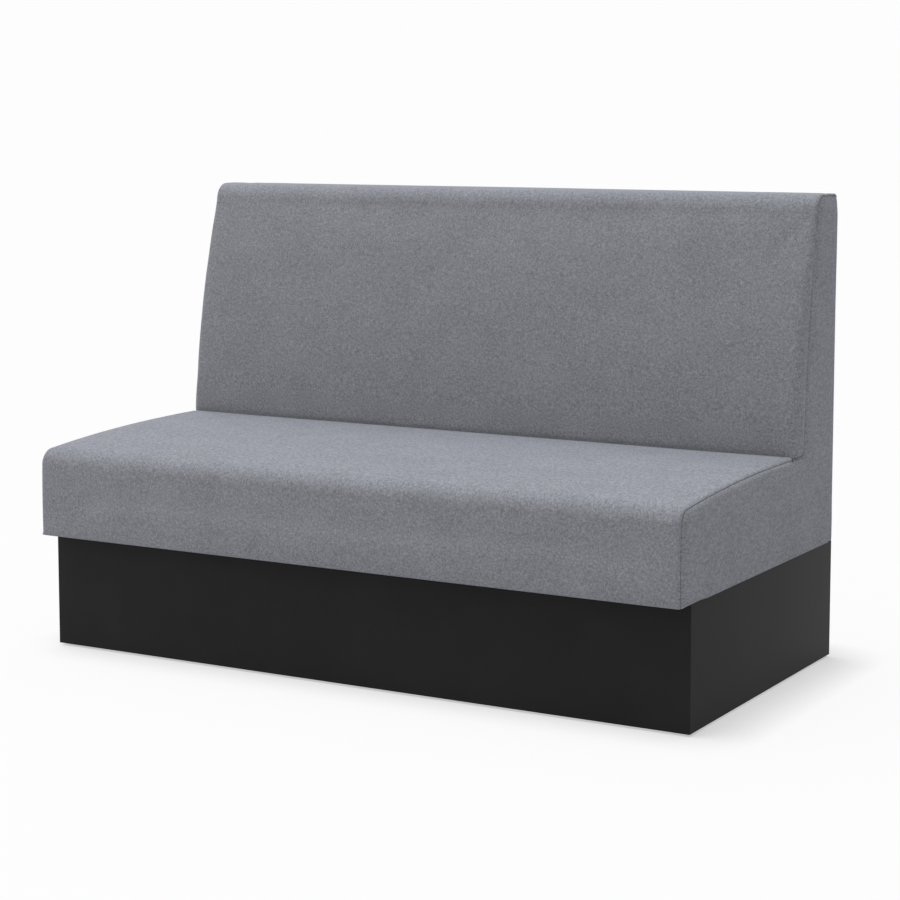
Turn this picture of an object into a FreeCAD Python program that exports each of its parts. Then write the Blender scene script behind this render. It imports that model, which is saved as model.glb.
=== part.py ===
import FreeCAD, Part
import math
import os
import re
import Sketcher
from FreeCAD import Placement, Rotation, Vector

# Straight restaurant booth bench: a black plinth on glides carries a plywood frame,
# padded with foam and wadding and covered in woven grey fabric.
# +X runs along the bench, -Y is the sitter's side, +Z is up.
# The origin is on the floor under the middle of the bench.

# Driving dimensions in millimetres: word, value, meaning
SIZES = [
    ("overall_length", 1500, "length over the side covers"),
    ("overall_depth", 785, "front of the seat to the rear cover"),
    ("overall_height", 985, "floor to the top of the back"),
    ("seat_height", 457, "floor to the crease between seat and back"),
    ("seat_depth", 560, "front of the seat to the crease"),
    ("nose_height", 437.5, "floor to the end of the rounded front edge"),
    ("nose_radius", 36, "rounded front edge of the seat"),
    ("seat_middle_rise", 18, "seat half way back, above the rounded front edge"),
    ("seat_crown", 3, "rise of the seat's middle over its ends"),
    ("seat_rear_radius", 8, "rounded rear edge of the seat"),
    ("back_middle_lean", 31, "middle of the back behind the crease"),
    ("back_top_lean", 95, "top of the back behind the crease"),
    ("back_crown", 4, "bulge of the back's middle over its ends"),
    ("front_bulge", 2, "bulge of the seat's front face"),
    ("top_radius", 40, "rounded top front edge of the back"),
    ("edge_radius", 9, "rounded edges of the side covers"),
    ("corner_radius", 10, "rounded bottom and rear edges of the covers"),
    ("seam_depth", 1.2, "how far a sewn seam draws the cover in"),
    ("wrap_low", 45, "back cover round onto the end, at the crease"),
    ("wrap_middle", 36, "back cover round onto the end, half way up"),
    ("wrap_high", 9, "back cover round onto the end, below the rounded top"),
    ("wrap_rim", 6.5, "back cover down onto the end along the top"),
    ("wrap_bend", 8, "rounded lower corner of the wrapped part"),
    ("crease_gap", 0.5, "seat cover to back cover inside the crease"),
    ("crease_rise", 10, "crease up to where the back starts to lean"),
    ("plinth_top", 250, "floor to the top of the plinth"),
    ("glide_lift", 5, "gap under the plinth"),
    ("front_overhang", 55, "seat in front of the plinth"),
    ("side_overhang", 6, "seat beyond the plinth at each end"),
    ("plinth_board", 18, "laminated board of the plinth"),
    ("block_side", 30, "square section of corner blocks and cleats"),
    ("rib_spacing", 490, "distance between the two middle ribs"),
    ("rib_lift", 15, "gap under the plinth's ribs"),
    ("frame_board", 18, "plywood of the frame's ends and ribs"),
    ("rail_thick", 25, "thickness of the solid wood rails"),
    ("rail_high", 70, "height of the seat frame"),
    ("notch_high", 40, "height of the housed seat rails"),
    ("middle_rail", 330, "seat front to the middle seat rail"),
    ("deck_thick", 12, "plywood seat deck"),
    ("facing_thick", 12, "plywood facing of the back"),
    ("rear_board_thick", 6, "plywood board behind the back"),
    ("back_foot", 170, "depth of the back frame at the seat deck"),
    ("back_lean", 107, "lean of the facing from seat frame to top"),
    ("top_padding", 40, "padding over the top rail"),
    ("fabric_thick", 2, "cover fabric with its backing"),
    ("wadding_thick", 5, "fibre wadding under the cover"),
    ("nose_foam", 15, "foam in front of the front rail"),
    ("side_pad_thick", 12, "foam of the side pads"),
    ("front_tuck", 105, "cover turned in under the front"),
    ("side_tuck", 56, "cover turned in under the ends and the rear"),
    ("bolt_across", 13, "spanner size of the base bolts"),
    ("bolt_thick", 8, "shank of the base bolts"),
    ("bolt_long", 75, "length of the base bolts"),
    ("bolt_head", 5.3, "head height of the base bolts"),
    ("nut_high", 6.5, "height of the nuts"),
    ("washer_wide", 20, "outside of the washers"),
    ("washer_thick", 1.6, "thickness of the washers"),
    ("hole_wide", 9, "clearance hole of a base bolt"),
    ("screw_thick", 4, "shank of the wood screws"),
    ("screw_head", 8, "countersunk head of the wood screws"),
    ("small_screw", 16, "length of the bracket and rear board screws"),
    ("short_screw", 40, "length of the block, deck and facing screws"),
    ("long_screw", 60, "length of the rail screws"),
    ("glide_wide", 22, "top of a glide"),
    ("glide_foot", 18, "flat foot of a glide"),
    ("nail_thick", 3, "nail of a glide"),
    ("nail_long", 24, "length of a glide's nail"),
    ("bracket_side", 30, "leg of a rib bracket"),
    ("bracket_wide", 20, "width of a rib bracket"),
    ("bracket_thick", 2, "steel of a rib bracket"),
    ("vent_wide", 25, "air hole in the seat deck"),
]

doc = FreeCAD.newDocument("booth_bench")
sheet = doc.addObject("Spreadsheet::Sheet", "Sizes")
for row, (alias, number, meaning) in enumerate(SIZES, start=1):
    sheet.set(f"A{row}", meaning)
    sheet.set(f"B{row}", str(number))
    sheet.setAlias(f"B{row}", alias)
doc.recompute()

WORDS = {alias for alias, number, meaning in SIZES}
nodes = []

# Faces and levels that several pieces share, as expressions of the sheet
FRONT = "(0 - overall_depth / 2)"
REAR = "(overall_depth / 2)"
PLINTH_FRONT = "(front_overhang - overall_depth / 2)"
PLINTH_END = "(overall_length / 2 - side_overhang)"
CLEAT_SPAN = "(overall_depth - front_overhang - 2 * plinth_board - 2 * block_side)"
CLEAT_FRONT = "(front_overhang - overall_depth / 2 + plinth_board + block_side)"
FRAME_BOTTOM = "(plinth_top + fabric_thick)"
FRAME_SEAT = "(plinth_top + fabric_thick + rail_high)"
DECK_TOP = "(plinth_top + fabric_thick + rail_high + deck_thick)"
NOTCH_BOTTOM = "(plinth_top + fabric_thick + rail_high - notch_high)"
FRAME_TOP = "(overall_height - top_padding)"
RAIL_TOP = "(overall_height - top_padding - rail_thick)"
FRAME_END = "(overall_length / 2 - fabric_thick - side_pad_thick)"
FRAME_REAR = "(overall_depth / 2 - fabric_thick - rear_board_thick)"
RAIL_FRONT = "(fabric_thick + wadding_thick + nose_foam - overall_depth / 2)"
FRAME_FRONT = "(fabric_thick + wadding_thick + nose_foam + rail_thick - overall_depth / 2)"
MIDDLE_RAIL = "(middle_rail - overall_depth / 2)"
BACK_FOOT = "(overall_depth / 2 - back_foot)"


def size(alias):
    """Number held by one cell of the sheet."""
    return float(sheet.get(alias))


def cell(text):
    """Expression text with every word of the sheet turned into its cell."""
    return re.sub(r"[a-z_]+", lambda m: "Sizes." + m[0] if m[0] in WORDS else m[0], text)


def facing_at(level):
    """Expression of the facing's rear face at a level, on the lean of the back frame."""
    slope = f"(back_lean / ({FRAME_TOP} - {FRAME_SEAT}))"
    return f"({BACK_FOOT} + ({level} - {FRAME_SEAT}) * {slope})"


def bind(item, **bindings):
    """Binds properties to expressions; x, y and z stand for the placement."""
    for name, text in bindings.items():
        path = "Placement.Base." + name if name in "xyz" else name
        item.setExpression(path, cell(text))


def node(item, name):
    """Gives a finished sub-part its name and keeps it for the parts folder."""
    item.Label = name
    nodes.append(item)
    return item


def board(name, x, y, z, long, deep, high):
    """Plain rectangular board from its lowest corner and its three sizes."""
    item = doc.addObject("Part::Box", name)
    bind(item, Length=long, Width=deep, Height=high, x=x, y=y, z=z)
    return item


def cut_board(name, plane, corners, depth, **place):
    """Board sawn to an outline: a pad of a sketch whose corners are bound to the sheet."""
    body = doc.addObject("PartDesign::Body", name)
    sketch = body.newObject("Sketcher::SketchObject", name + "_outline")
    support = next(f for f in body.Origin.OriginFeatures if f.Role == plane)
    sketch.AttachmentSupport = [(support, "")]
    sketch.MapMode = "FlatFace"
    count = len(corners)
    turn = 2 * math.pi / count
    rough = [Vector(math.cos(i * turn), math.sin(i * turn), 0) * 100 for i in range(count)]
    for i in range(count):
        sketch.addGeometry(Part.LineSegment(rough[i], rough[(i + 1) % count]))
    for i, (across, up) in enumerate(corners):
        sketch.addConstraint(Sketcher.Constraint("Coincident", i, 2, (i + 1) % count, 1))
        for kind, start, text in (("DistanceX", rough[i].x, across), ("DistanceY", rough[i].y, up)):
            index = sketch.addConstraint(Sketcher.Constraint(kind, -1, 1, i, 1, start))
            sketch.renameConstraint(index, f"{kind}{i}")
            sketch.setExpression(f"Constraints.{kind}{i}", cell(text))
    pad = body.newObject("PartDesign::Pad", name + "_pad")
    pad.Profile = sketch
    pad.setExpression("Length", cell(depth))
    bind(body, **place)
    return body


def joined(name, items):
    """Several primitives fused into one solid."""
    item = doc.addObject("Part::MultiFuse", name)
    item.Shapes = items
    return item


def without(name, base, tools):
    """Base with the shapes of the tools taken out."""
    tool = tools[0]
    if len(tools) > 1:
        tool = doc.addObject("Part::Compound", name + "_tools")
        tool.Links = tools
    item = doc.addObject("Part::Cut", name)
    item.Base = base
    item.Tool = tool
    return item


def cylinder(name, radius, high, z="0"):
    """Upright cylinder on the Z axis."""
    item = doc.addObject("Part::Cylinder", name)
    bind(item, Radius=radius, Height=high, z=z)
    return item


def cone(name, low, top, high, z="0"):
    """Upright cone on the Z axis, from its lower and upper radius."""
    item = doc.addObject("Part::Cone", name)
    bind(item, Radius1=low, Radius2=top, Height=high, z=z)
    return item


def hexagon(name, high):
    """Hexagonal prism of the base bolts' spanner size."""
    item = doc.addObject("Part::Prism", name)
    item.Polygon = 6
    bind(item, Circumradius="bolt_across / sqrt(3)", Height=high)
    return item


def feature(name, shape):
    """Shape that only Part's own functions can make."""
    item = doc.addObject("Part::Feature", name)
    item.Shape = shape
    item.Placement = Placement()
    return item


def copies(name, master, spots):
    """The same fastener at every spot: a point and the way its tip points."""
    doc.recompute()
    solids = []
    for point, way in spots:
        solid = master.Shape.copy()
        turn = Placement(point, Rotation(Vector(0, 0, -1), way))
        solid.Placement = turn.multiply(solid.Placement)
        solids.append(solid)
    return feature(name, Part.makeCompound(solids))


# Numbers that the padding and the fasteners share, read from the sheet
front = -size("overall_depth") / 2
rear = size("overall_depth") / 2
top = size("overall_height")
fabric = size("fabric_thick")
padding = fabric + size("wadding_thick")
under = size("plinth_top")
crease = front + size("seat_depth")
plinth_front = front + size("front_overhang")
plinth_end = size("overall_length") / 2 - size("side_overhang")
frame_end = size("overall_length") / 2 - fabric - size("side_pad_thick")
frame_bottom = under + fabric
frame_seat = frame_bottom + size("rail_high")
deck_top = frame_seat + size("deck_thick")
frame_top = top - size("top_padding")
frame_rear = rear - fabric - size("rear_board_thick")
rail_front = front + padding + size("nose_foam")
block = size("block_side")
lift = size("glide_lift")
slope = size("back_lean") / (frame_top - frame_seat)
end_middle = frame_end - size("frame_board") / 2
rib_middle = size("rib_spacing") / 2
panel_middles = (-end_middle, -rib_middle, rib_middle, end_middle)
UP = Vector(0, 0, 1)
DOWN = Vector(0, 0, -1)
BACKWARD = Vector(0, 1, 0)
FORWARD = Vector(0, -1, 0)


def facing_front(level):
    """Front face of the back's facing at a level."""
    return rear - size("back_foot") + (level - frame_seat) * slope - size("facing_thick")


# Fastener masters: each head sits on the origin and the tip points down
def wood_screw(name, length):
    """Countersunk wood screw."""
    sink = "(screw_head / 2 - screw_thick / 2)"
    shank_high = f"({length} - {sink} - screw_thick)"
    head = cone(name + "_head", "screw_thick / 2", "screw_head / 2", sink, f"0 - {sink}")
    shank = cylinder(name + "_shank", "screw_thick / 2", shank_high, f"screw_thick - {length}")
    point = cone(name + "_point", "screw_thick / 10", "screw_thick / 2", "screw_thick", f"0 - {length}")
    return joined(name, [head, shank, point])


small_screw = wood_screw("small_screw_master", "small_screw")
short_screw = wood_screw("short_screw_master", "short_screw")
long_screw = wood_screw("long_screw_master", "long_screw")
bolt = joined("bolt_master", [
    hexagon("bolt_head_master", "bolt_head"),
    cylinder("bolt_shank_master", "bolt_thick / 2", "bolt_long", "0 - bolt_long"),
])
nut = without("nut_master", hexagon("nut_blank", "nut_high"), [
    cylinder("nut_thread", "bolt_thick / 2", "nut_high"),
])
washer = without("washer_master", cylinder("washer_blank", "washer_wide / 2", "washer_thick"), [
    cylinder("washer_hole", "hole_wide / 2", "washer_thick"),
])
nail = joined("nail_master", [
    cylinder("nail_head", "nail_thick", "nail_thick / 3", "0 - nail_thick / 3"),
    cylinder("nail_shank", "nail_thick / 2", "nail_long", "0 - nail_long"),
])
glide = without("glide_master", cone("glide_blank", "glide_foot / 2", "glide_wide / 2", "glide_lift"), [
    cylinder("glide_recess", "nail_thick", "glide_lift / 2"),
    cylinder("glide_bore", "nail_thick / 2", "glide_lift"),
])
clearance = cylinder("clearance_master", "hole_wide / 2", "bolt_long")
vent = cylinder("vent_master", "vent_wide / 2", "deck_thick")

# Glides: plastic discs nailed under the four corner blocks, the only feet on the floor
block_x = plinth_end - size("plinth_board") - block / 2
block_ys = (plinth_front + size("plinth_board") + block / 2, rear - size("plinth_board") - block / 2)
block_spots = [(side * block_x, y) for side in (-1, 1) for y in block_ys]
nail_seat = lift / 2 - size("nail_thick") / 3
node(copies("glides", glide, [(Vector(x, y, 0), DOWN) for x, y in block_spots]), "glides")
nail_spots = [(Vector(x, y, nail_seat), UP) for x, y in block_spots]
nails = node(copies("glide_nails", nail, nail_spots), "glide_nails")

# Corner blocks: softwood posts in the plinth's corners, screwed to both panels
block_screw_spots = []
long_panel_levels = (70, 190)
end_panel_levels = (100, 160)
for x, y in block_spots:
    side = math.copysign(1, x)
    end = math.copysign(1, y)
    for level in long_panel_levels:
        block_screw_spots.append((Vector(x, y - end * block / 2, level), Vector(0, end, 0)))
    for level in end_panel_levels:
        block_screw_spots.append((Vector(x - side * block / 2, y, level), Vector(side, 0, 0)))
block_screws = node(copies("corner_block_screws", short_screw, block_screw_spots), "corner_block_screws")
BLOCK_FACES = {
    "left": "(0 - (overall_length / 2 - side_overhang - plinth_board))",
    "right": "(overall_length / 2 - side_overhang - plinth_board - block_side)",
    "front": "(front_overhang - overall_depth / 2 + plinth_board)",
    "rear": "(overall_depth / 2 - plinth_board - block_side)",
}
for end in ("front", "rear"):
    for side in ("left", "right"):
        name = f"corner_block_{end}_{side}"
        post = board(name + "_post", BLOCK_FACES[side], BLOCK_FACES[end], "glide_lift",
                     "block_side", "block_side", "plinth_top - glide_lift")
        node(without(name, post, [block_screws, nails]), name)

# Base bolts: they clamp the frame's cleats on the plinth's cleats, through the turned-in cover
cleat_bottom = under - block
cleat_top = frame_bottom + block
washer_thick = size("washer_thick")
bolt_x = (block_x + frame_end - size("frame_board") - block / 2) / 2
bolt_ys = (-200, 250)
bolt_spots = [(side * bolt_x, y) for side in (-1, 1) for y in bolt_ys]
low_washers = [(Vector(x, y, cleat_bottom - washer_thick), DOWN) for x, y in bolt_spots]
high_washers = [(Vector(x, y, cleat_top), DOWN) for x, y in bolt_spots]
nut_spots = [(Vector(x, y, cleat_top + washer_thick), DOWN) for x, y in bolt_spots]
head_spots = [(Vector(x, y, cleat_bottom - washer_thick), UP) for x, y in bolt_spots]
node(copies("base_bolts", bolt, head_spots), "base_bolts")
node(copies("base_washers", washer, low_washers + high_washers), "base_washers")
node(copies("base_nuts", nut, nut_spots), "base_nuts")
bolt_holes = copies("bolt_holes", clearance, head_spots)

# Cleats: square battens along the ends, one pair on the plinth and one on the frame
cleat_screw_spots = []
cleat_screw_ys = (-150, 30, 200)
for side in (-1, 1):
    for y in cleat_screw_ys:
        low = Vector(side * (block_x - block / 2), y, under - block / 2)
        high = Vector(side * (frame_end - size("frame_board") - block), y, frame_bottom + block / 2)
        cleat_screw_spots += [(low, Vector(side, 0, 0)), (high, Vector(side, 0, 0))]
cleat_screws = node(copies("cleat_screws", short_screw, cleat_screw_spots), "cleat_screws")
FRAME_CLEATS = {
    "left": f"(frame_board - {FRAME_END})",
    "right": f"({FRAME_END} - frame_board - block_side)",
}
for side in ("left", "right"):
    name = f"plinth_{side}_cleat"
    batten = board(name + "_batten", BLOCK_FACES[side], CLEAT_FRONT, "plinth_top - block_side",
                   "block_side", CLEAT_SPAN, "block_side")
    node(without(name, batten, [bolt_holes, cleat_screws]), name)
    name = f"frame_{side}_cleat"
    batten = board(name + "_batten", FRAME_CLEATS[side], CLEAT_FRONT, FRAME_BOTTOM,
                   "block_side", CLEAT_SPAN, "block_side")
    node(without(name, batten, [bolt_holes, cleat_screws]), name)

# Plinth ribs: two boards from front to rear, held by steel angles
bracket_level = 140  # lower edge of the steel angles
bracket_side = size("bracket_side")
rib_faces = [side * (rib_middle + size("plinth_board") / 2) for side in (-1, 1)]
inner_front = plinth_front + size("plinth_board")
inner_rear = rear - size("plinth_board")
steel = size("bracket_thick")
brackets = []
bracket_screw_spots = []
screw_level = bracket_level + size("bracket_wide") / 2
for face in rib_faces:
    side = math.copysign(1, face)
    for inner, way in ((inner_front, FORWARD), (inner_rear, BACKWARD)):
        near = min(face, face + side * bracket_side)
        deep = min(inner, inner - way.y * bracket_side)
        on_panel = Part.makeBox(bracket_side, steel, size("bracket_wide"),
                                Vector(near, min(inner, inner - way.y * steel), bracket_level))
        on_rib = Part.makeBox(steel, bracket_side, size("bracket_wide"),
                              Vector(min(face, face + side * steel), deep, bracket_level))
        brackets.append(on_panel.fuse(on_rib).removeSplitter())
        out = bracket_side * 2 / 3
        bracket_screw_spots.append((Vector(face + side * out, inner - way.y * steel, screw_level), way))
        bracket_screw_spots.append((Vector(face + side * steel, inner - way.y * out, screw_level),
                                    Vector(-side, 0, 0)))
bracket_screws = node(copies("bracket_screws", small_screw, bracket_screw_spots), "bracket_screws")
angles = feature("rib_angles", Part.makeCompound(brackets))
node(without("rib_brackets", angles, [bracket_screws]), "rib_brackets")
for side, sign in (("left", "-"), ("right", "+")):
    name = f"plinth_rib_{side}"
    rib = board(name + "_board", f"0 {sign} rib_spacing / 2 - plinth_board / 2",
                f"{PLINTH_FRONT} + plinth_board", "rib_lift", "plinth_board",
                "overall_depth - front_overhang - 2 * plinth_board", "plinth_top - rib_lift")
    node(without(name, rib, [bracket_screws]), name)

# Plinth panels: black laminated boards, mitred at the four corners
INNER_END = f"({PLINTH_END} - plinth_board)"
INNER_FRONT = f"({PLINTH_FRONT} + plinth_board)"
INNER_REAR = f"({REAR} - plinth_board)"
PANELS = {
    "front": [(f"0 - {PLINTH_END}", PLINTH_FRONT), (PLINTH_END, PLINTH_FRONT),
              (INNER_END, INNER_FRONT), (f"0 - {INNER_END}", INNER_FRONT)],
    "rear": [(f"0 - {INNER_END}", INNER_REAR), (INNER_END, INNER_REAR),
             (PLINTH_END, REAR), (f"0 - {PLINTH_END}", REAR)],
    "left": [(f"0 - {PLINTH_END}", PLINTH_FRONT), (f"0 - {INNER_END}", INNER_FRONT),
             (f"0 - {INNER_END}", INNER_REAR), (f"0 - {PLINTH_END}", REAR)],
    "right": [(INNER_END, INNER_FRONT), (PLINTH_END, PLINTH_FRONT),
              (PLINTH_END, REAR), (INNER_END, INNER_REAR)],
}
for side, corners in PANELS.items():
    name = f"plinth_{side}_panel"
    panel = cut_board(name + "_board", "XY_Plane", corners, "plinth_top - glide_lift", z="glide_lift")
    holes = [block_screws, bracket_screws] if side in ("front", "rear") else [block_screws, cleat_screws]
    node(without(name, panel, holes), name)

# Frame screws: rails and boards are screwed to the four upright panels
rail_screw_spots = []
deck_screw_spots = []
facing_screw_spots = []
rear_screw_spots = []
rail_half = size("rail_thick") / 2
middle_rail_y = front + size("middle_rail") + rail_half
rear_rail_y = rear - size("back_foot") - rail_half
top_rail_y = (facing_front(frame_top) + size("facing_thick") + frame_rear) / 2
lean = Vector(0, 1, -slope).normalize()
rail_screw_levels = (frame_bottom + 18, frame_bottom + 52)
deck_screw_ys = (-300, -150, 60, 160)
facing_screw_levels = (420, 580, 740, 890)
rear_screw_levels = (350, 500, 650, 800, 900)
for x in panel_middles:
    for level in rail_screw_levels:
        rail_screw_spots.append((Vector(x, rail_front, level), BACKWARD))
        rail_screw_spots.append((Vector(x, frame_rear, level), FORWARD))
    for y, level in ((middle_rail_y, frame_seat), (rear_rail_y, frame_seat), (top_rail_y, frame_top)):
        rail_screw_spots.append((Vector(x, y, level), DOWN))
    for y in deck_screw_ys:
        deck_screw_spots.append((Vector(x, y, deck_top), DOWN))
    for level in facing_screw_levels:
        facing_screw_spots.append((Vector(x, facing_front(level), level), lean))
    for level in rear_screw_levels:
        rear_screw_spots.append((Vector(x, rear - fabric, level), FORWARD))
rail_screws = node(copies("rail_screws", long_screw, rail_screw_spots), "rail_screws")
deck_screws = node(copies("deck_screws", short_screw, deck_screw_spots), "deck_screws")
facing_screws = node(copies("facing_screws", short_screw, facing_screw_spots), "facing_screws")
rear_screws = node(copies("rear_board_screws", small_screw, rear_screw_spots), "rear_board_screws")

# Upright panels: plywood sawn to the booth's side, with housings for the rails
RAIL_BACK = f"({FRAME_REAR} - rail_thick)"
PANEL_OUTLINE = [
    (FRAME_FRONT, FRAME_BOTTOM), (RAIL_BACK, FRAME_BOTTOM), (RAIL_BACK, FRAME_SEAT),
    (FRAME_REAR, FRAME_SEAT), (FRAME_REAR, RAIL_TOP), (facing_at(RAIL_TOP), RAIL_TOP),
    (BACK_FOOT, FRAME_SEAT), (BACK_FOOT, NOTCH_BOTTOM),
    (f"{BACK_FOOT} - rail_thick", NOTCH_BOTTOM), (f"{BACK_FOOT} - rail_thick", FRAME_SEAT),
    (f"{MIDDLE_RAIL} + rail_thick", FRAME_SEAT), (f"{MIDDLE_RAIL} + rail_thick", NOTCH_BOTTOM),
    (MIDDLE_RAIL, NOTCH_BOTTOM), (MIDDLE_RAIL, FRAME_SEAT), (FRAME_FRONT, FRAME_SEAT),
]
UPRIGHTS = {
    "frame_left_end": f"0 - {FRAME_END}",
    "frame_left_rib": "0 - rib_spacing / 2 - frame_board / 2",
    "frame_right_rib": "rib_spacing / 2 - frame_board / 2",
    "frame_right_end": f"{FRAME_END} - frame_board",
}
for name, place in UPRIGHTS.items():
    panel = cut_board(name + "_board", "YZ_Plane", PANEL_OUTLINE, "frame_board", x=place)
    holes = [rail_screws, deck_screws, facing_screws, rear_screws]
    if name.endswith("end"):
        holes.append(cleat_screws)
    node(without(name, panel, holes), name)

# Rails: solid wood across the uprights, all as long as the frame
RAILS = {
    "seat_front_rail": (RAIL_FRONT, FRAME_BOTTOM, "rail_thick", "rail_high"),
    "seat_middle_rail": (MIDDLE_RAIL, NOTCH_BOTTOM, "rail_thick", "notch_high"),
    "seat_rear_rail": (f"{BACK_FOOT} - rail_thick", NOTCH_BOTTOM, "rail_thick", "notch_high"),
    "back_bottom_rail": (RAIL_BACK, FRAME_BOTTOM, "rail_thick", "rail_high"),
    "back_top_rail": (facing_at(FRAME_TOP), RAIL_TOP, f"{FRAME_REAR} - {facing_at(FRAME_TOP)}", "rail_thick"),
}
for name, (y, z, deep, high) in RAILS.items():
    rail = board(name + "_rail", f"0 - {FRAME_END}", y, z, f"2 * {FRAME_END}", deep, high)
    node(without(name, rail, [rail_screws]), name)

# Boards: the seat deck with its air holes, the leaning facing and the thin rear board
bay_middle = (end_middle + rib_middle) / 2
vent_shift = 80
vent_ys = (-230, 70)
vent_spots = [(Vector(bay + shift, y, frame_seat), DOWN)
              for bay in (-bay_middle, 0, bay_middle) for shift in (-vent_shift, vent_shift) for y in vent_ys]
vents = copies("vents", vent, vent_spots)
deck = board("deck_board", f"0 - {FRAME_END}", RAIL_FRONT, FRAME_SEAT,
             f"2 * {FRAME_END}", f"{BACK_FOOT} - {RAIL_FRONT}", "deck_thick")
node(without("seat_deck", deck, [vents, deck_screws]), "seat_deck")
FACING_OUTLINE = [
    (f"{facing_at(DECK_TOP)} - facing_thick", DECK_TOP), (facing_at(DECK_TOP), DECK_TOP),
    (facing_at(FRAME_TOP), FRAME_TOP), (f"{facing_at(FRAME_TOP)} - facing_thick", FRAME_TOP),
]
facing = cut_board("facing_board", "YZ_Plane", FACING_OUTLINE, f"2 * {FRAME_END}", x=f"0 - {FRAME_END}")
node(without("back_facing", facing, [facing_screws]), "back_facing")
thin = board("rear_thin_board", f"0 - {FRAME_END}", FRAME_REAR, FRAME_BOTTOM,
             f"2 * {FRAME_END}", "rear_board_thick", f"{FRAME_TOP} - {FRAME_BOTTOM}")
node(without("rear_board", thin, [rear_screws]), "rear_board")

# The seams to the side covers run along the rounded corners of the upholstery
seam = size("seam_depth")
edge = size("edge_radius")
side_end = size("overall_length") / 2
diagonal = math.sqrt(0.5)
seam_x = side_end - edge + edge * diagonal

# Outline points of the upholstery: y, z, outward normal
corner = size("corner_radius")
nose = size("nose_radius")
nose_top = size("nose_height")
round_top = size("top_radius")
bulge = size("front_bulge")
seat_level = size("seat_height")
seat_rear = crease - size("crease_gap")
soft = size("seat_rear_radius")
top_start = crease + size("back_top_lean")
nose_start = nose_top - nose


def around(y, z, radius, across, up):
    """Middle point of a quarter arc round a centre, towards a diagonal."""
    return (y + across * diagonal * radius, z + up * diagonal * radius, across * diagonal, up * diagonal)


TUCK = (front + size("front_tuck"), under, 0, -1)
FOOT = (front + bulge + corner, under, 0, -1)
FOOT_ARC = around(front + bulge + corner, under + corner, corner, -1, -1)
FACE_LOW = (front + bulge, under + corner, -1, 0)
FACE_MIDDLE = (front, (under + corner + nose_start) / 2, -1, 0)
FACE_TOP = (front + bulge, nose_start, -1, 0)
NOSE_ARC = around(front + bulge + nose, nose_start, nose, -1, 1)
NOSE_END = (front + bulge + nose, nose_top, 0, 1)
SEAT_MIDDLE = ((front + nose + crease) / 2, nose_top + size("seat_middle_rise"), 0, 1)
SEAT_END = (seat_rear - soft, seat_level, 0, 1)
SEAT_ARC = around(seat_rear - soft, seat_level - soft, soft, 1, 1)
SEAT_DROP = (seat_rear, seat_level - soft, 1, 0)
SEAT_HEM = (seat_rear, deck_top, 1, 0)
CREASE = (crease, seat_level, -1, 1)
BACK_HEM = (crease, deck_top + fabric, -1, 0)
BACK_LOW = (crease, seat_level + size("crease_rise"), -1, 0)
BACK_MIDDLE = (crease + size("back_middle_lean"), (seat_level + top) / 2, -1, 0)
BACK_HIGH = (top_start, frame_top, -1, 0)
TOP_ARC = around(top_start + round_top, frame_top, round_top, -1, 1)
TOP_START = (top_start + round_top, top, 0, 1)
TOP_END = (rear - corner, top, 0, 1)
REAR_ARC = around(rear - corner, top - corner, corner, 1, 1)
REAR_TOP = (rear, top - corner, 1, 0)
REAR_HEM = (rear, frame_top + fabric, 1, 0)
REAR_EDGE = (rear, frame_top, 1, 0)
REAR_FOOT = (rear, under, 1, -1)
CROWNS = {SEAT_MIDDLE: size("seat_crown"), BACK_MIDDLE: size("back_crown")}
UNSEWN = {BACK_LOW, BACK_MIDDLE, BACK_HIGH, TOP_ARC, TOP_START, TOP_END, REAR_ARC}

# Paths over the outline: a step with one point is a line, a step with two is an arc
SEAT_PATH = [FOOT, (FOOT_ARC, FACE_LOW), (FACE_MIDDLE, FACE_TOP), (NOSE_ARC, NOSE_END),
             (SEAT_MIDDLE, SEAT_END), (SEAT_ARC, SEAT_DROP), (SEAT_HEM,)]
BACK_PATH = [BACK_HEM, (BACK_LOW,), (BACK_MIDDLE, BACK_HIGH), (TOP_ARC, TOP_START), (TOP_END,),
             (REAR_ARC, REAR_TOP)]
SIDE_PATH = [FOOT, (FOOT_ARC, FACE_LOW), (FACE_MIDDLE, FACE_TOP), (NOSE_ARC, NOSE_END),
             (SEAT_MIDDLE, SEAT_END), (CREASE,), (BACK_LOW,), (BACK_MIDDLE, BACK_HIGH), (TOP_ARC, TOP_START),
             (TOP_END,), (REAR_ARC, REAR_TOP), (REAR_FOOT,), (FOOT,)]


def spot(point, x, inset):
    """Outline point at a station, moved in by the inset and the seam, and out by its crown."""
    y, z, across, up = point
    out = CROWNS.get(point, 0) * max(0, 1 - (x / frame_end) ** 2) - inset
    if math.isclose(abs(x), seam_x) and point not in UNSEWN:
        out -= seam
    return Vector(x, y + across * out, z + up * out)


def edges(path, x, inset):
    """Lines and arcs of a path at one station."""
    made = []
    last = path[0]
    for step in path[1:]:
        ends = [spot(p, x, inset) for p in (last, *step)]
        curve = Part.LineSegment(*ends) if len(step) == 1 else Part.Arc(*ends)
        made.append(curve.toShape())
        last = step[-1]
    return made


def backwards(path):
    """The same path from its far end."""
    points = [path[0]] + [p for step in path[1:] for p in step]
    lengths = [len(step) for step in path[1:]]
    points.reverse()
    steps = [points[0]]
    place = 1
    for length in reversed(lengths):
        steps.append(tuple(points[place:place + length]))
        place += length
    return steps


def closing(start, end):
    """Straight edge between the open ends of two runs of edges."""
    return Part.LineSegment(start, end).toShape()


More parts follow.
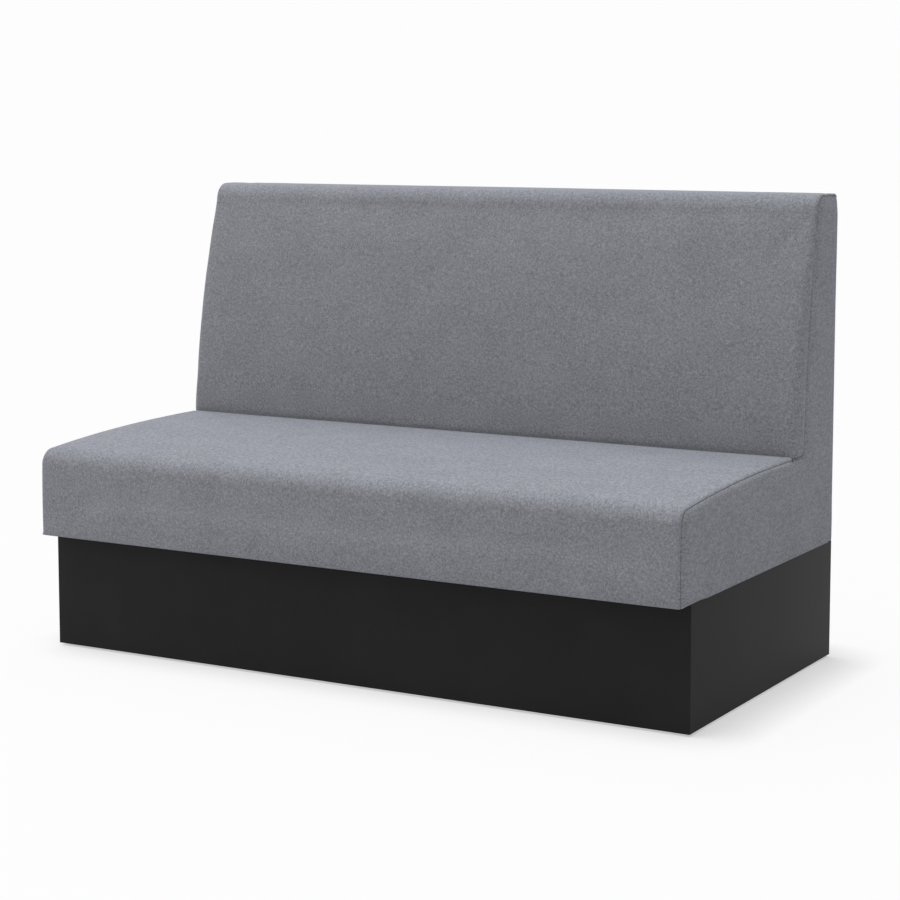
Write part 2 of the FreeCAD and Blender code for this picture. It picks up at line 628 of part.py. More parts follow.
def band(path, x, outer, inner):
    """Section of a layer: the path at its outer inset and back at its inner inset."""
    back = backwards(path)
    out_run = edges(path, x, outer)
    in_run = edges(back, x, inner)
    turn = closing(spot(path[-1][-1], x, outer), spot(back[0], x, inner))
    home = closing(spot(path[0], x, inner), spot(path[0], x, outer))
    return Part.Wire([*out_run, turn, *in_run, home])


def filled(path, x, inset, corners):
    """Section of a solid: a path closed by straight lines over the given corners."""
    ends = [spot(path[-1][-1], x, inset), *[Vector(x, y, z) for y, z in corners], spot(path[0], x, inset)]
    return Part.Wire(edges(path, x, inset) + [closing(a, b) for a, b in zip(ends, ends[1:])])


def skin(sections):
    """Solid through sections, straight from one to the next."""
    return Part.makeLoft(sections, True, True)


# Stations along the bench between the side pads
STATIONS = [frame_end * share for share in (-1, -0.7, -0.35, 0, 0.35, 0.7, 1)]

# Seat foam: a crowned slab on the deck, and a strip in front of the front rail
SLAB_FRONT = (front, deck_top, -1, 0)
SLAB_PATH = [SLAB_FRONT, (FACE_TOP,), (NOSE_ARC, NOSE_END), (SEAT_MIDDLE, SEAT_END), (SEAT_ARC, SEAT_DROP),
             (SEAT_HEM,)]
slab = skin([filled(SLAB_PATH, x, padding, []) for x in STATIONS])
node(feature("seat_foam", slab), "seat_foam")
strip = board("seat_front_foam", f"0 - {FRAME_END}", f"{FRONT} + fabric_thick + wadding_thick + front_bulge",
              f"{FRAME_BOTTOM} + fabric_thick", f"2 * {FRAME_END}", "nose_foam - front_bulge",
              f"{DECK_TOP} - {FRAME_BOTTOM} - fabric_thick")
node(strip, "seat_front_foam")

# Back foam: a crowned pad on the facing, and a strip over the top rail
PAD_PATH = [BACK_HEM, (BACK_LOW,), (BACK_MIDDLE, BACK_HIGH)]
pad_low = deck_top + fabric
pad_corners = [(facing_front(frame_top), frame_top), (facing_front(pad_low), pad_low)]
node(feature("back_foam", skin([filled(PAD_PATH, x, padding, pad_corners) for x in STATIONS])), "back_foam")
CAP_PATH = [BACK_HIGH, (TOP_ARC, TOP_START), (TOP_END,), (REAR_ARC, REAR_TOP), (REAR_EDGE,)]
node(feature("back_top_foam", skin([filled(CAP_PATH, x, padding, []) for x in STATIONS])), "back_top_foam")

# Wadding: fibre wrap between the foam and the covers
WRAP_PATH = [FACE_LOW, *SEAT_PATH[2:]]
seat_wrap = skin([band(WRAP_PATH, x, fabric, padding) for x in STATIONS])
node(feature("seat_wadding", seat_wrap), "seat_wadding")
back_wrap = skin([band([*BACK_PATH, (REAR_HEM,)], x, fabric, padding) for x in STATIONS])
node(feature("back_wadding", back_wrap), "back_wadding")

# Side pads: L-shaped foam on the frame's ends, their edges rounded over
turns = [math.radians(a) for a in (0, 22.5, 45, 67.5, 90)]
pad_edge = edge - fabric
pad_stations = [(frame_end, fabric)]
pad_stations += [(side_end - edge + pad_edge * math.sin(a), edge - pad_edge * math.cos(a)) for a in turns]
cover_stations = [(frame_end, 0)]
cover_stations += [(side_end - edge + edge * math.sin(a), edge - edge * math.cos(a)) for a in turns]


def end_form(sign, stations):
    """Solid beyond the frame's end through insets of the whole side outline."""
    return skin([Part.Wire(edges(SIDE_PATH, sign * x, inset)) for x, inset in stations])


def zone(sign, inner, outer, low_y, high_y, low_z, high_z):
    """Box beyond one end of the frame, from its distances to the bench's middle."""
    start = Vector(inner if sign > 0 else -outer, low_y, low_z)
    return Part.makeBox(outer - inner, high_y - low_y, high_z - low_z, start)


# Side view of the part of each end that the back cover wraps: its seam leaves the crease,
# turns up behind the padded front of the back and follows the top to the rear edge
wrap_foot = crease + size("wrap_low")
bend = size("wrap_bend")
rim = size("wrap_rim")
lean_middle = crease + size("back_middle_lean") + size("wrap_middle")
lean_top = top_start + size("wrap_high")
turn_y = top_start + round_top
bend_middle = (wrap_foot - bend + bend * diagonal, seat_level + bend - bend * diagonal)
top_middle = ((lean_top + turn_y) / 2 - (turn_y - lean_top) * (diagonal - 0.5),
              (frame_top + top - rim) / 2 + (top - rim - frame_top) * (diagonal - 0.5))
rear_bend = corner - rim
rear_middle = (rear - corner + rear_bend * diagonal, top - corner + rear_bend * diagonal)
SEAM_LINE = [
    (crease, seat_level), [(wrap_foot - bend, seat_level)],
    [bend_middle, (wrap_foot, seat_level + bend)],
    [(lean_middle, (seat_level + top) / 2), (lean_top, frame_top)],
    [top_middle, (turn_y, top - rim)], [(rear - corner, top - rim)],
    [rear_middle, (rear - rim, top - corner)], [(rear + edge, top - corner)],
    [(rear + edge, top + edge)], [(crease, top + edge)], [(crease, seat_level)],
]
seam_edges = []
last = SEAM_LINE[0]
for step in SEAM_LINE[1:]:
    ends = [Vector(0, y, z) for y, z in (last, *step)]
    curve = Part.LineSegment(*ends) if len(step) == 1 else Part.Arc(*ends)
    seam_edges.append(curve.toShape())
    last = step[-1]
wrapped = Part.Face(Part.Wire(seam_edges)).extrude(Vector(2 * side_end, 0, 0))
wrapped.translate(Vector(-side_end, 0, 0))

# Side covers and the ends of the other covers: the shell round each pad, parted at the seams
tuck_y = TUCK[0]
heel_y = rear - size("side_tuck")
parting_y = (crease + heel_y) / 2
back_ends = []
seat_ends = []
rear_ends = []
for side, sign in (("left", -1), ("right", 1)):
    pad = end_form(sign, pad_stations)
    shell = end_form(sign, cover_stations).cut(pad)
    back_ends.append(shell.common(wrapped))
    shell = shell.cut(wrapped)
    underside = zone(sign, frame_end, seam_x, tuck_y, heel_y, under - edge, under + corner)
    corners = zone(sign, frame_end, seam_x, front - edge, rear + edge, under - edge, top).cut(underside)
    rims = shell.common(corners)
    seat_ends.append(rims.common(zone(sign, frame_end, seam_x, front - edge, parting_y, under - edge, top)))
    rear_ends.append(rims.common(zone(sign, frame_end, seam_x, parting_y, rear + edge, under - edge, top)))
    flap = zone(sign, side_end - size("side_tuck"), side_end - edge, tuck_y, heel_y, under, under + fabric)
    cover = feature(f"{side}_shell", shell.cut(corners).fuse(flap))
    node(without(f"{side}_side_cover", cover, [bolt_holes]), f"{side}_side_cover")
    node(feature(f"{side}_side_pad", pad), f"{side}_side_pad")

# Covers: woven fabric over the seat, the back and the rear board, sewn to the side covers
seat_skin = skin([band([TUCK, (FOOT,), *SEAT_PATH[1:]], x, 0, fabric) for x in STATIONS])
node(feature("seat_cover", seat_skin.fuse(seat_ends)), "seat_cover")
back_skin = skin([band(BACK_PATH, x, 0, fabric) for x in STATIONS])
node(feature("back_cover", back_skin.fuse(back_ends)), "back_cover")
REAR_OUTLINE = [
    (f"{REAR} - side_tuck", "plinth_top"), (REAR, "plinth_top"), (REAR, "overall_height - corner_radius"),
    (f"{REAR} - fabric_thick", "overall_height - corner_radius"),
    (f"{REAR} - fabric_thick", FRAME_BOTTOM), (f"{REAR} - side_tuck", FRAME_BOTTOM),
]
rear_panel = cut_board("rear_panel", "YZ_Plane", REAR_OUTLINE, f"2 * {FRAME_END}", x=f"0 - {FRAME_END}")
doc.recompute()
node(feature("rear_cover", rear_panel.Shape.fuse(rear_ends)), "rear_cover")

# Dust cover: thin black felt that closes the frame's underside
dust = board("dust_cover", "side_tuck - overall_length / 2", f"{FRONT} + front_tuck", "plinth_top",
             "overall_length - 2 * side_tuck", "overall_depth - front_tuck - side_tuck", "fabric_thick")
node(dust, "dust_cover")

# Every object has to be sound before anything is written
doc.recompute()
for item in doc.Objects:
    if {"Invalid", "Error"} & set(item.State):
        raise SystemExit(f"{item.Label} failed: {item.State}")
for item in nodes:
    if item.Shape.isNull() or not item.Shape.isValid() or not item.Shape.Solids:
        raise SystemExit(f"{item.Label} has no valid solid")
os.makedirs("parts", exist_ok=True)
for item in nodes:
    item.Shape.exportStep(f"parts/{item.Label}.step")
    solids = item.Shape.Solids
    print(f"{item.Label}: {len(solids)} solid(s), {sum(s.Volume for s in solids) / 1000:.1f} cm3")
print(f"{len(nodes)} nodes")
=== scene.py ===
import math

import bmesh
import bpy
import numpy as np
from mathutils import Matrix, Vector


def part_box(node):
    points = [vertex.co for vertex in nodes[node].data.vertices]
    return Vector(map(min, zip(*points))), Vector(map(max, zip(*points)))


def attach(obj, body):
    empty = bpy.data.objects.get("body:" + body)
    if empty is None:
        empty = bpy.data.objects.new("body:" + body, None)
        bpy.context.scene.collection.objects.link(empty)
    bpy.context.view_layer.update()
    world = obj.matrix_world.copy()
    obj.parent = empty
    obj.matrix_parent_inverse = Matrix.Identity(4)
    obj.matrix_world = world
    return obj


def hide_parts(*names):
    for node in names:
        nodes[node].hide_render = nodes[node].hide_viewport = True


# Straight restaurant booth bench, in the order in which it is put together: glides and plinth,
# frame and boards, cushions, end panels, rear and dust covers, seams and staples, then the studio.
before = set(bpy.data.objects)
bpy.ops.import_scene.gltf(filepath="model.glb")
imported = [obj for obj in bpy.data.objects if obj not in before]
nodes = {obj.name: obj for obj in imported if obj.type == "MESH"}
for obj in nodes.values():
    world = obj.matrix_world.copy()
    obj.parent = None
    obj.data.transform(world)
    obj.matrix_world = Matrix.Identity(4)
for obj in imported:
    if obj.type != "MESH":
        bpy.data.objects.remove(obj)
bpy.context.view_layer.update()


# Glides: four low discs of moulded black plastic, nailed under the corner blocks.
# They are the only feet on the floor and hold the plinth 5 mm above it.
def new_material(name, colour, roughness, others=()):
    """Material with its Principled shader's plain colour, roughness and other inputs set."""
    made = bpy.data.materials.new(name)
    made.use_nodes = True
    shader = made.node_tree.nodes["Principled BSDF"]
    for key, value in (("Base Color", (*colour, 1)), ("Roughness", roughness), *others):
        shader.inputs[key].default_value = value
    return made, made.node_tree, shader


def add(tree, kind, inputs, **settings):
    """Node with its settings, and its inputs given as values or as other nodes' outputs."""
    node = tree.nodes.new(kind)
    for name, value in settings.items():
        setattr(node, name, value)
    for key, value in inputs.items():
        if isinstance(value, bpy.types.NodeSocket):
            tree.links.new(value, node.inputs[key])
        else:
            node.inputs[key].default_value = value
    return node


def noise(tree, scale, detail=2.0, stretch=(1, 1, 1), distortion=0.0):
    """Noise on Object coordinates, in features per metre, stretched along the axes."""
    place = add(tree, "ShaderNodeTexCoord", {})
    mapping = add(tree, "ShaderNodeMapping", {"Vector": place.outputs["Object"], "Scale": stretch})
    texture = add(tree, "ShaderNodeTexNoise", {
        "Vector": mapping.outputs[0], "Scale": scale, "Detail": detail, "Distortion": distortion})
    return texture.outputs["Fac"]


def blend_colours(tree, share, first, second):
    """Colour between two, by a share from another node."""
    mixed = add(tree, "ShaderNodeMix", {0: share, 6: (*first, 1), 7: (*second, 1)}, data_type="RGBA")
    return mixed.outputs[2]


def two_tone(tree, shader, share, first, second):
    """Base colour that varies between two."""
    tree.links.new(blend_colours(tree, share, first, second), shader.inputs["Base Color"])


def spread(tree, value, low=0.3, high=0.7):
    """A texture's value with its middle part spread over 0 to 1."""
    wider = add(tree, "ShaderNodeMapRange", {"Value": value, "From Min": low, "From Max": high})
    return wider.outputs["Result"]


def rough_between(tree, shader, share, low, high):
    """Roughness that varies between two levels."""
    level = add(tree, "ShaderNodeMapRange", {"Value": share, "To Min": low, "To Max": high})
    tree.links.new(level.outputs["Result"], shader.inputs["Roughness"])


def bumps(tree, shader, height, depth, strength=1.0):
    """Fine relief of the given depth in metres."""
    bump = add(tree, "ShaderNodeBump", {"Height": height, "Distance": depth, "Strength": strength})
    tree.links.new(bump.outputs["Normal"], shader.inputs["Normal"])


def finish_node(material, slot, *names):
    """Gives CAD nodes their material; the slot is not used."""
    for name in names:
        piece = nodes[name]
        piece.data.materials.clear()
        piece.data.materials.append(material)


glide_black = (0.014, 0.014, 0.014)
glide_plastic, tree, shader = new_material("moulded_black_plastic", glide_black, 0.5)
grain = noise(tree, 900)
two_tone(tree, shader, grain, glide_black, (0.03, 0.03, 0.03))
bumps(tree, shader, grain, 0.0001)
finish_node(glide_plastic, "glide_plastic", "glides")

# Screws, bolts, nails and angles: zinc-plated steel with the cloudy grey of plating.
# They hold blocks, cleats, ribs, rails and boards.
zinc_light = (0.62, 0.62, 0.60)
zinc_dark = (0.42, 0.43, 0.43)
zinc_steel, tree, shader = new_material("zinc_plated_steel", zinc_light, 0.35, [("Metallic", 1.0)])
clouds = noise(tree, 160, 4.0)
two_tone(tree, shader, spread(tree, clouds, 0.35, 0.65), zinc_dark, zinc_light)
rough_between(tree, shader, clouds, 0.28, 0.5)
finish_node(zinc_steel, "zinc_steel", "glide_nails", "corner_block_screws", "base_bolts", "base_washers",
            "base_nuts", "cleat_screws", "bracket_screws", "rib_brackets", "rail_screws", "deck_screws",
            "facing_screws", "rear_board_screws")


# Corner blocks and cleats: planed softwood, glued and screwed inside the plinth and the frame.
# The grain runs along each piece: upright in the blocks, front to rear in the cleats.
def wood(name, light, dark, rings, roughness, stretch):
    """Planed wood with its grain along the axis that is stretched least."""
    made, tree, shader = new_material(name, light, roughness)
    figure = spread(tree, noise(tree, rings, 5.0, stretch, 1.5))
    two_tone(tree, shader, figure, dark, light)
    bumps(tree, shader, figure, 0.0002)
    return made


pine_light = (0.66, 0.49, 0.29)
pine_dark = (0.47, 0.30, 0.15)
across_grain = 8.0
pine_upright = wood("planed_pine_upright", pine_light, pine_dark, rings=12, roughness=0.6,
                    stretch=(across_grain, across_grain, 1))
pine_lengthways = wood("planed_pine_lengthways", pine_light, pine_dark, rings=12, roughness=0.6,
                       stretch=(across_grain, 1, across_grain))
finish_node(pine_upright, "softwood", "corner_block_front_left", "corner_block_front_right",
            "corner_block_rear_left", "corner_block_rear_right")
finish_node(pine_lengthways, "softwood", "plinth_left_cleat", "plinth_right_cleat", "frame_left_cleat",
            "frame_right_cleat")

# Plinth ribs and panels: boards faced in satin black laminate, with a very fine pebbled texture.
# The two ribs stand inside, and the four panels are mitred and glued at the corners.
laminate_black = (0.0270, 0.0265, 0.0262)
laminate_worn = (0.0308, 0.0302, 0.0299)
dull_finish = [("Specular IOR Level", 0.055)]
black_laminate, tree, shader = new_material("black_satin_laminate", laminate_black, 0.5, dull_finish)
pebbles = noise(tree, 1300, 1.0)
smears = noise(tree, 7, 3.0)
two_tone(tree, shader, spread(tree, smears, 0.35, 0.65), laminate_black, laminate_worn)
rough_between(tree, shader, smears, 0.46, 0.56)
bumps(tree, shader, pebbles, 0.00004)
finish_node(black_laminate, "black_laminate", "plinth_rib_left", "plinth_rib_right")


def new_object(name, data):
    """Object in the scene for a mesh, a lamp or a camera."""
    made = bpy.data.objects.new(name, data)
    bpy.context.scene.collection.objects.link(made)
    return made


def finish_piece(name, mesh, material, slot, *replaced):
    """Object for a finished mesh: it rides on the bench and stands for CAD nodes."""
    mesh.materials.clear()
    mesh.materials.append(material)
    piece = new_object(name, mesh)
    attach(piece, "root")
    if replaced:
        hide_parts(*replaced)
    return piece


def shade_smooth(mesh, angle):
    """Smooth shading, with edges sharper than the angle kept crisp."""
    mesh.polygons.foreach_set("use_smooth", [True] * len(mesh.polygons))
    mesh.set_sharp_from_angle(angle=math.radians(angle))


def join_runs(work, runs, closed=True):
    """Faces between runs of points, each as long as the next; points of a face may be the same."""
    for near, far in zip(runs, runs[1:]):
        for i in range(len(near) if closed else len(near) - 1):
            j = (i + 1) % len(near)
            corners = list(dict.fromkeys((near[i], near[j], far[j], far[i])))
            if len(corners) > 2:
                work.faces.new(corners)


def mesh_from(work, name):
    """Finished mesh with its faces outwards."""
    bmesh.ops.recalc_face_normals(work, faces=work.faces)
    mesh = bpy.data.meshes.new(name)
    work.to_mesh(mesh)
    work.free()
    return mesh


def mitred_panel(name, middle, out, half, thick, bottom, top):
    """Upright board with mitred ends, its two outer arrises rounded and all its edges eased.
    The middle is that of its outer face in plan, out the way that this face looks."""
    arris = 0.0012
    ease = 0.0005
    glue = 0.0001
    turn = np.radians(np.linspace(0, 45, 4))
    right = np.column_stack([half - glue - arris + arris * np.sin(turn), arris * np.cos(turn) - arris])
    right = np.concatenate([right, [(half - glue - thick, -thick)]])
    left = right[::-1] * (-1, 1)
    along = np.array((-out[1], out[0]))
    plan = np.array([middle + along * u + np.array(out) * v for u, v in np.concatenate([left, right])])
    ahead = np.roll(plan, -1, axis=0) - plan
    way = ahead / np.linalg.norm(ahead, axis=1)[:, None]
    normals = np.column_stack([way[:, 1], -way[:, 0]])
    before = np.roll(normals, 1, axis=0)
    mitre = (normals + before) / (1 + (normals * before).sum(1))[:, None]
    work = bmesh.new()
    rings = []
    for level, inset in ((bottom, ease), (bottom + ease, 0), (top - ease, 0), (top, ease)):
        rings.append([work.verts.new((x, y, level)) for x, y in plan - mitre * inset])
    join_runs(work, rings)
    work.faces.new(rings[0][::-1])
    work.faces.new(rings[-1])
    mesh = mesh_from(work, name)
    shade_smooth(mesh, 35)
    return mesh


plinth_low, plinth_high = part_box("plinth_front_panel")
plinth_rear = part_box("plinth_rear_panel")[1].y
plinth_end = plinth_high.x
plinth_middle = (plinth_low.y + plinth_rear) / 2
plinth_half = (plinth_rear - plinth_low.y) / 2
panel_faces = {
    "front": ((0, plinth_low.y), (0, -1), plinth_end),
    "rear": ((0, plinth_rear), (0, 1), plinth_end),
    "left": ((-plinth_end, plinth_middle), (-1, 0), plinth_half),
    "right": ((plinth_end, plinth_middle), (1, 0), plinth_half),
}
for side, (middle, out, half) in panel_faces.items():
    panel = mitred_panel(f"plinth_{side}", middle, out, half, plinth_high.y - plinth_low.y,
                         plinth_low.z, plinth_high.z)
    finish_piece(f"plinth_{side}", panel, black_laminate, "black_laminate", f"plinth_{side}_panel")


# Plywood frame: four L-shaped uprights, the seat deck, the leaning facing and the rear board.
# Birch plywood shows pale faces with a fine long grain, and thin light and dark plies at its edges.
def maths(tree, operation, *values):
    """Result of a sum with values or other nodes' outputs."""
    return add(tree, "ShaderNodeMath", dict(enumerate(values)), operation=operation).outputs[0]


def plywood(name, ply_axis, grain_axis):
    """Birch plywood, its plies stacked along one axis and its face grain along another."""
    face_light, face_dark = (0.60, 0.45, 0.29), (0.50, 0.35, 0.20)
    ply_light, ply_dark = (0.58, 0.43, 0.27), (0.34, 0.21, 0.11)
    ply_thickness = 0.0015
    made, tree, shader = new_material(name, face_light, 0.55)
    stretch = [18.0, 18.0, 18.0]
    stretch["XYZ".index(grain_axis)] = 1.0
    grain = spread(tree, noise(tree, 14, 5.0, stretch))
    place = add(tree, "ShaderNodeTexCoord", {})
    parts = add(tree, "ShaderNodeSeparateXYZ", {0: place.outputs["Object"]})
    count = maths(tree, "DIVIDE", parts.outputs[ply_axis], ply_thickness)
    stripe = maths(tree, "GREATER_THAN", maths(tree, "FLOORED_MODULO", count, 2.0), 1.0)
    plies = blend_colours(tree, stripe, ply_light, ply_dark)
    faces = blend_colours(tree, grain, face_dark, face_light)
    shape = add(tree, "ShaderNodeNewGeometry", {})
    facing = add(tree, "ShaderNodeSeparateXYZ", {0: shape.outputs["True Normal"]})
    on_face = maths(tree, "GREATER_THAN", maths(tree, "ABSOLUTE", facing.outputs[ply_axis]), 0.7)
    shown = add(tree, "ShaderNodeMix", {0: on_face, 6: plies, 7: faces}, data_type="RGBA")
    tree.links.new(shown.outputs[2], shader.inputs["Base Color"])
    bumps(tree, shader, grain, 0.0002)
    return made


finish_node(plywood("birch_plywood_upright", "X", "Z"), "birch_plywood", "frame_left_end",
            "frame_left_rib", "frame_right_rib", "frame_right_end")
finish_node(plywood("birch_plywood_deck", "Z", "X"), "birch_plywood", "seat_deck")
finish_node(plywood("birch_plywood_facing", "Y", "X"), "birch_plywood", "back_facing", "rear_board")

# Rails: planed beech across the uprights, housed in their notches and screwed.
# They carry the deck, the facing and the rear board.
beech = wood("planed_beech", (0.56, 0.38, 0.24), (0.43, 0.27, 0.15), rings=20, roughness=0.5,
             stretch=(1, 12, 12))
finish_node(beech, "beech_wood", "seat_front_rail", "seat_middle_rail", "seat_rear_rail",
            "back_bottom_rail", "back_top_rail")

# Cover fabric: a woven and milled wool blend in heather grey, soft and dull.
# Short fibres of several greys lie in every direction, so close up it is finely mottled.
wool_dark = (0.168, 0.172, 0.182)
wool_light = (0.430, 0.436, 0.457)
wool_mean = (0.29, 0.297, 0.318)
soft_finish = [("Specular IOR Level", 0.2), ("Sheen Weight", 0.18), ("Sheen Roughness", 0.5),
               ("Sheen Tint", (0.80, 0.86, 1.0, 1))]
grey_wool, tree, shader = new_material("heather_grey_wool", wool_mean, 0.95, soft_finish)
longer_in_depth = (1, 0.5, 1)
fibres = noise(tree, 370, 2.0, longer_in_depth)
flecks = noise(tree, 215, 2.0, longer_in_depth)
clouds = noise(tree, 11, 3.0)
parts = ((fibres, 0.47), (flecks, 0.43), (clouds, 0.10))
fine, medium, large = [maths(tree, "MULTIPLY", spread(tree, tone), share) for tone, share in parts]
heather = maths(tree, "ADD", maths(tree, "ADD", fine, medium), large)
two_tone(tree, shader, heather, wool_dark, wool_light)
bumps(tree, shader, fibres, 0.0008, 0.6)


# Seat cushion: foam on the deck and in front of the front rail, wrapped in fibre wadding.
# Its cover runs from the crease over the seat and the rounded nose, and is turned in under the frame.
def run(start, end, count):
    """Straight run of side-view points, without its first one."""
    share = np.linspace(0, 1, count + 1)[1:, None]
    return np.array(start) + (np.array(end) - np.array(start)) * share


def straight_runs(corners, counts):
    """Straight runs of side-view points through corners, with the number of steps in each."""
    legs = [run(start, end, count) for start, end, count in zip(corners, corners[1:], counts)]
    return np.concatenate([corners[:1], *legs])


def arc(centre, radius, start, end, count):
    """Arc of side-view points, without its first one; angles in degrees from +Y."""
    turn = np.radians(np.linspace(start, end, count + 1)[1:])
    return np.array(centre) + radius * np.column_stack([np.cos(turn), np.sin(turn)])


def bow(start, end, rise, count):
    """Shallow curve between two points, without its first one; the rise is to the right of its way."""
    start, end = np.array(start), np.array(end)
    way = (end - start) / np.linalg.norm(end - start)
    right = np.array([way[1], -way[0]])
    share = np.linspace(0, 1, count + 1)[1:, None]
    return start + (end - start) * share + right * rise * 4 * share * (1 - share)


def outward(points):
    """Outward normals of a run of side-view points that goes round its form to the left."""
    ahead = np.gradient(points, axis=0)
    ahead /= np.linalg.norm(ahead, axis=1)[:, None]
    return np.column_stack([ahead[:, 1], -ahead[:, 0]])


def ease_in(share):
    """Smooth step from 0 to 1."""
    share = np.clip(share, 0, 1)
    return share * share * (3 - 2 * share)


diagonal = math.sqrt(0.5)
end_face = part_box("right_side_cover")[1].x
frame_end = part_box("seat_deck")[1].x
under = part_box("seat_cover")[0].z
edge_round = 0.014
seam_under = edge_round * (1 - diagonal)
seam_x = end_face - seam_under
groove = 0.0038 * diagonal
groove_reach = 0.0045
seam_in = seam_under + groove


def turned(distance):
    """How far a cover lies under its face at a distance from a sewn corner."""
    turn = np.clip(edge_round * diagonal - distance, 0, None)
    return edge_round - np.sqrt(edge_round ** 2 - turn ** 2)


def drawn(distance):
    """How far a seam draws a cover in at a distance from it."""
    return groove * np.exp(-distance / groove_reach)


def softness(z):
    """Share of the rounding and the draw that is left: the bottom edge is pulled tight."""
    kept_at_edge, edge_height = 0.75, 0.006
    return kept_at_edge + (1 - kept_at_edge) * ease_in((z - under) / edge_height)


def moved_in(cover, amount):
    """Run of side-view points moved in from their face, but hardly up from the bottom edge."""
    kept_upwards = 0.25
    ways = outward(cover)
    ways[:, 1] *= np.where(ways[:, 1] < 0, kept_upwards, 1)
    return cover - ways * np.broadcast_to(amount, len(cover))[:, None]


def stations(count):
    """Places along the bench from seam to seam: close together at the ends, a count in between."""
    near_seam = np.array([0, 0.6, 1.4, 2.5, 4, 5.8, 8, 11, 15, 20, 27]) / 1000
    inner = seam_x - 0.035
    return np.concatenate([near_seam - seam_x, np.linspace(-inner, inner, count),
                           (seam_x - near_seam)[::-1]])


def near_end(x, cover):
    """Section of a cover at a station, rounded and drawn in towards the seam at the bench's end."""
    spread_reach = 0.030
    distance = seam_x - abs(x)
    soft = softness(cover[:, 1])
    flat = moved_in(cover, soft * (turned(distance) + drawn(distance)))
    spread_out = (1 - soft) * seam_under * max(0, 1 - distance / spread_reach)
    xs = x + math.copysign(1, x) * (spread_out - soft * drawn(distance))
    return np.column_stack([xs, flat])


def close_end(work, ring):
    """Flat end of a closed form."""
    end = work.faces.new(list(dict.fromkeys(ring)))
    end.normal_update()
    bmesh.ops.triangulate(work, faces=[end])


def add_points(work, layer, points, held):
    """Points in space, each with the share by which it is held: 1 is fixed and 0 is free."""
    made = [work.verts.new(point) for point in points]
    for vert, share in zip(made, np.broadcast_to(held, len(made))):
        vert[layer] = float(share)
    return made


def closed_form(name, backing, sections):
    """Form through sections along the bench, each given as its cover's points and how they are held.
    The cover reaches the end seams, and the backing stops at the frame's ends."""
    work = bmesh.new()
    layer = work.verts.layers.float.new("held")
    backs = {}
    rings = []
    for points, held in sections:
        made = add_points(work, layer, points, held)
        x = float(np.clip(points[0][0], -frame_end, frame_end))
        if x not in backs:
            backs[x] = add_points(work, layer, [(x, y, z) for y, z in backing], 1)
        rings.append(made + backs[x])
    join_runs(work, rings)
    close_end(work, rings[0])
    close_end(work, rings[-1])
    return mesh_from(work, name)


def inflate(piece, swell):
    """Simulates the cover as cloth over springy padding: held points stay, others move out softly."""
    steps = 20
    count = len(piece.data.vertices)
    rest = np.empty(count * 3)
    piece.data.vertices.foreach_get("co", rest)
    held = np.empty(count, dtype=np.float32)
    piece.data.attributes["held"].data.foreach_get("value", held)
    group = piece.vertex_groups.new(name="held")
    group.add([int(i) for i in np.flatnonzero(held > 0.99)], 1.0, "REPLACE")
    cloth = piece.modifiers.new("Cloth", "CLOTH")
    cloth.settings.vertex_group_mass = "held"
    cloth.settings.use_pressure = True
    cloth.settings.uniform_pressure_force = 4.0
    cloth.settings.effector_weights.gravity = 0.0
    cloth.settings.tension_stiffness = 25.0
    cloth.settings.compression_stiffness = 25.0
    cloth.settings.bending_stiffness = 1.0
    cloth.collision_settings.use_collision = False
    cloth.point_cache.frame_end = steps
    for step in range(1, steps + 1):
        bpy.context.scene.frame_set(step)
    swollen = np.empty_like(rest)
    seen = piece.evaluated_get(bpy.context.evaluated_depsgraph_get())
    seen.data.vertices.foreach_get("co", swollen)
    piece.modifiers.remove(cloth)
    piece.vertex_groups.remove(group)
    bpy.context.scene.frame_set(1)
    move = (swollen - rest).reshape(-1, 3)
    far = np.maximum(np.linalg.norm(move, axis=1), 1e-9)
    kept = swell * np.tanh(far / swell) / far * (1 - held)
    piece.data.vertices.foreach_set("co", rest + (move * kept[:, None]).ravel())
    piece.data.update()


def pad_out(piece, swell):
    """Padding of a finished cover: simulated and subdivided once."""
    inflate(piece, swell)
    piece.data.attributes.remove(piece.data.attributes["held"])
    shade_smooth(piece.data, 60)
    finer = piece.modifiers.new("Subdivision", "SUBSURF")
    finer.levels = 1
    finer.render_levels = 1


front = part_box("seat_cover")[0].y
rail_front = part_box("seat_deck")[0].y
deck_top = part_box("seat_deck")[1].z
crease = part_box("back_cover")[0].y
seat_rear = crease - 0.0005
fabric = 0.002
seat_level = 0.457
nose_round = 0.036
nose_top = 0.4375
foot_round = 0.004
face = front + 0.002
nose_centre = (face + nose_round, nose_top - nose_round)
seat_rise = 0.0078
tuck_end = -0.2875
rear_round = 0.008
corner_round = 0.002


def seat_outline(rear_round, finer=1):
    """Side view of the seat's cover, from the crease over the nose to its edge under the frame."""
    return np.concatenate([
        [(seat_rear, seat_level - rear_round)],
        arc((seat_rear - rear_round, seat_level - rear_round), rear_round, 0, 90, 5 * finer),
        bow((seat_rear - rear_round, seat_level), (nose_centre[0], nose_top), seat_rise, 43 * finer),
        arc(nose_centre, nose_round, 90, 180, 10 * finer),
        bow((face, nose_centre[1]), (face, under + foot_round), 0.001, 14 * finer),
        arc((face + foot_round, under + foot_round), foot_round, 180, 270, 4 * finer),
        run((face + foot_round, under), (tuck_end, under), 8 * finer),
    ])


def seat_at(x):
    """Cover of the seat at a station: its rear edge is rounded, but square in the corners."""
    square = ease_in((abs(x) - frame_end + 0.012) / 0.014)
    return seat_outline(rear_round) * (1 - square) + seat_outline(corner_round) * square


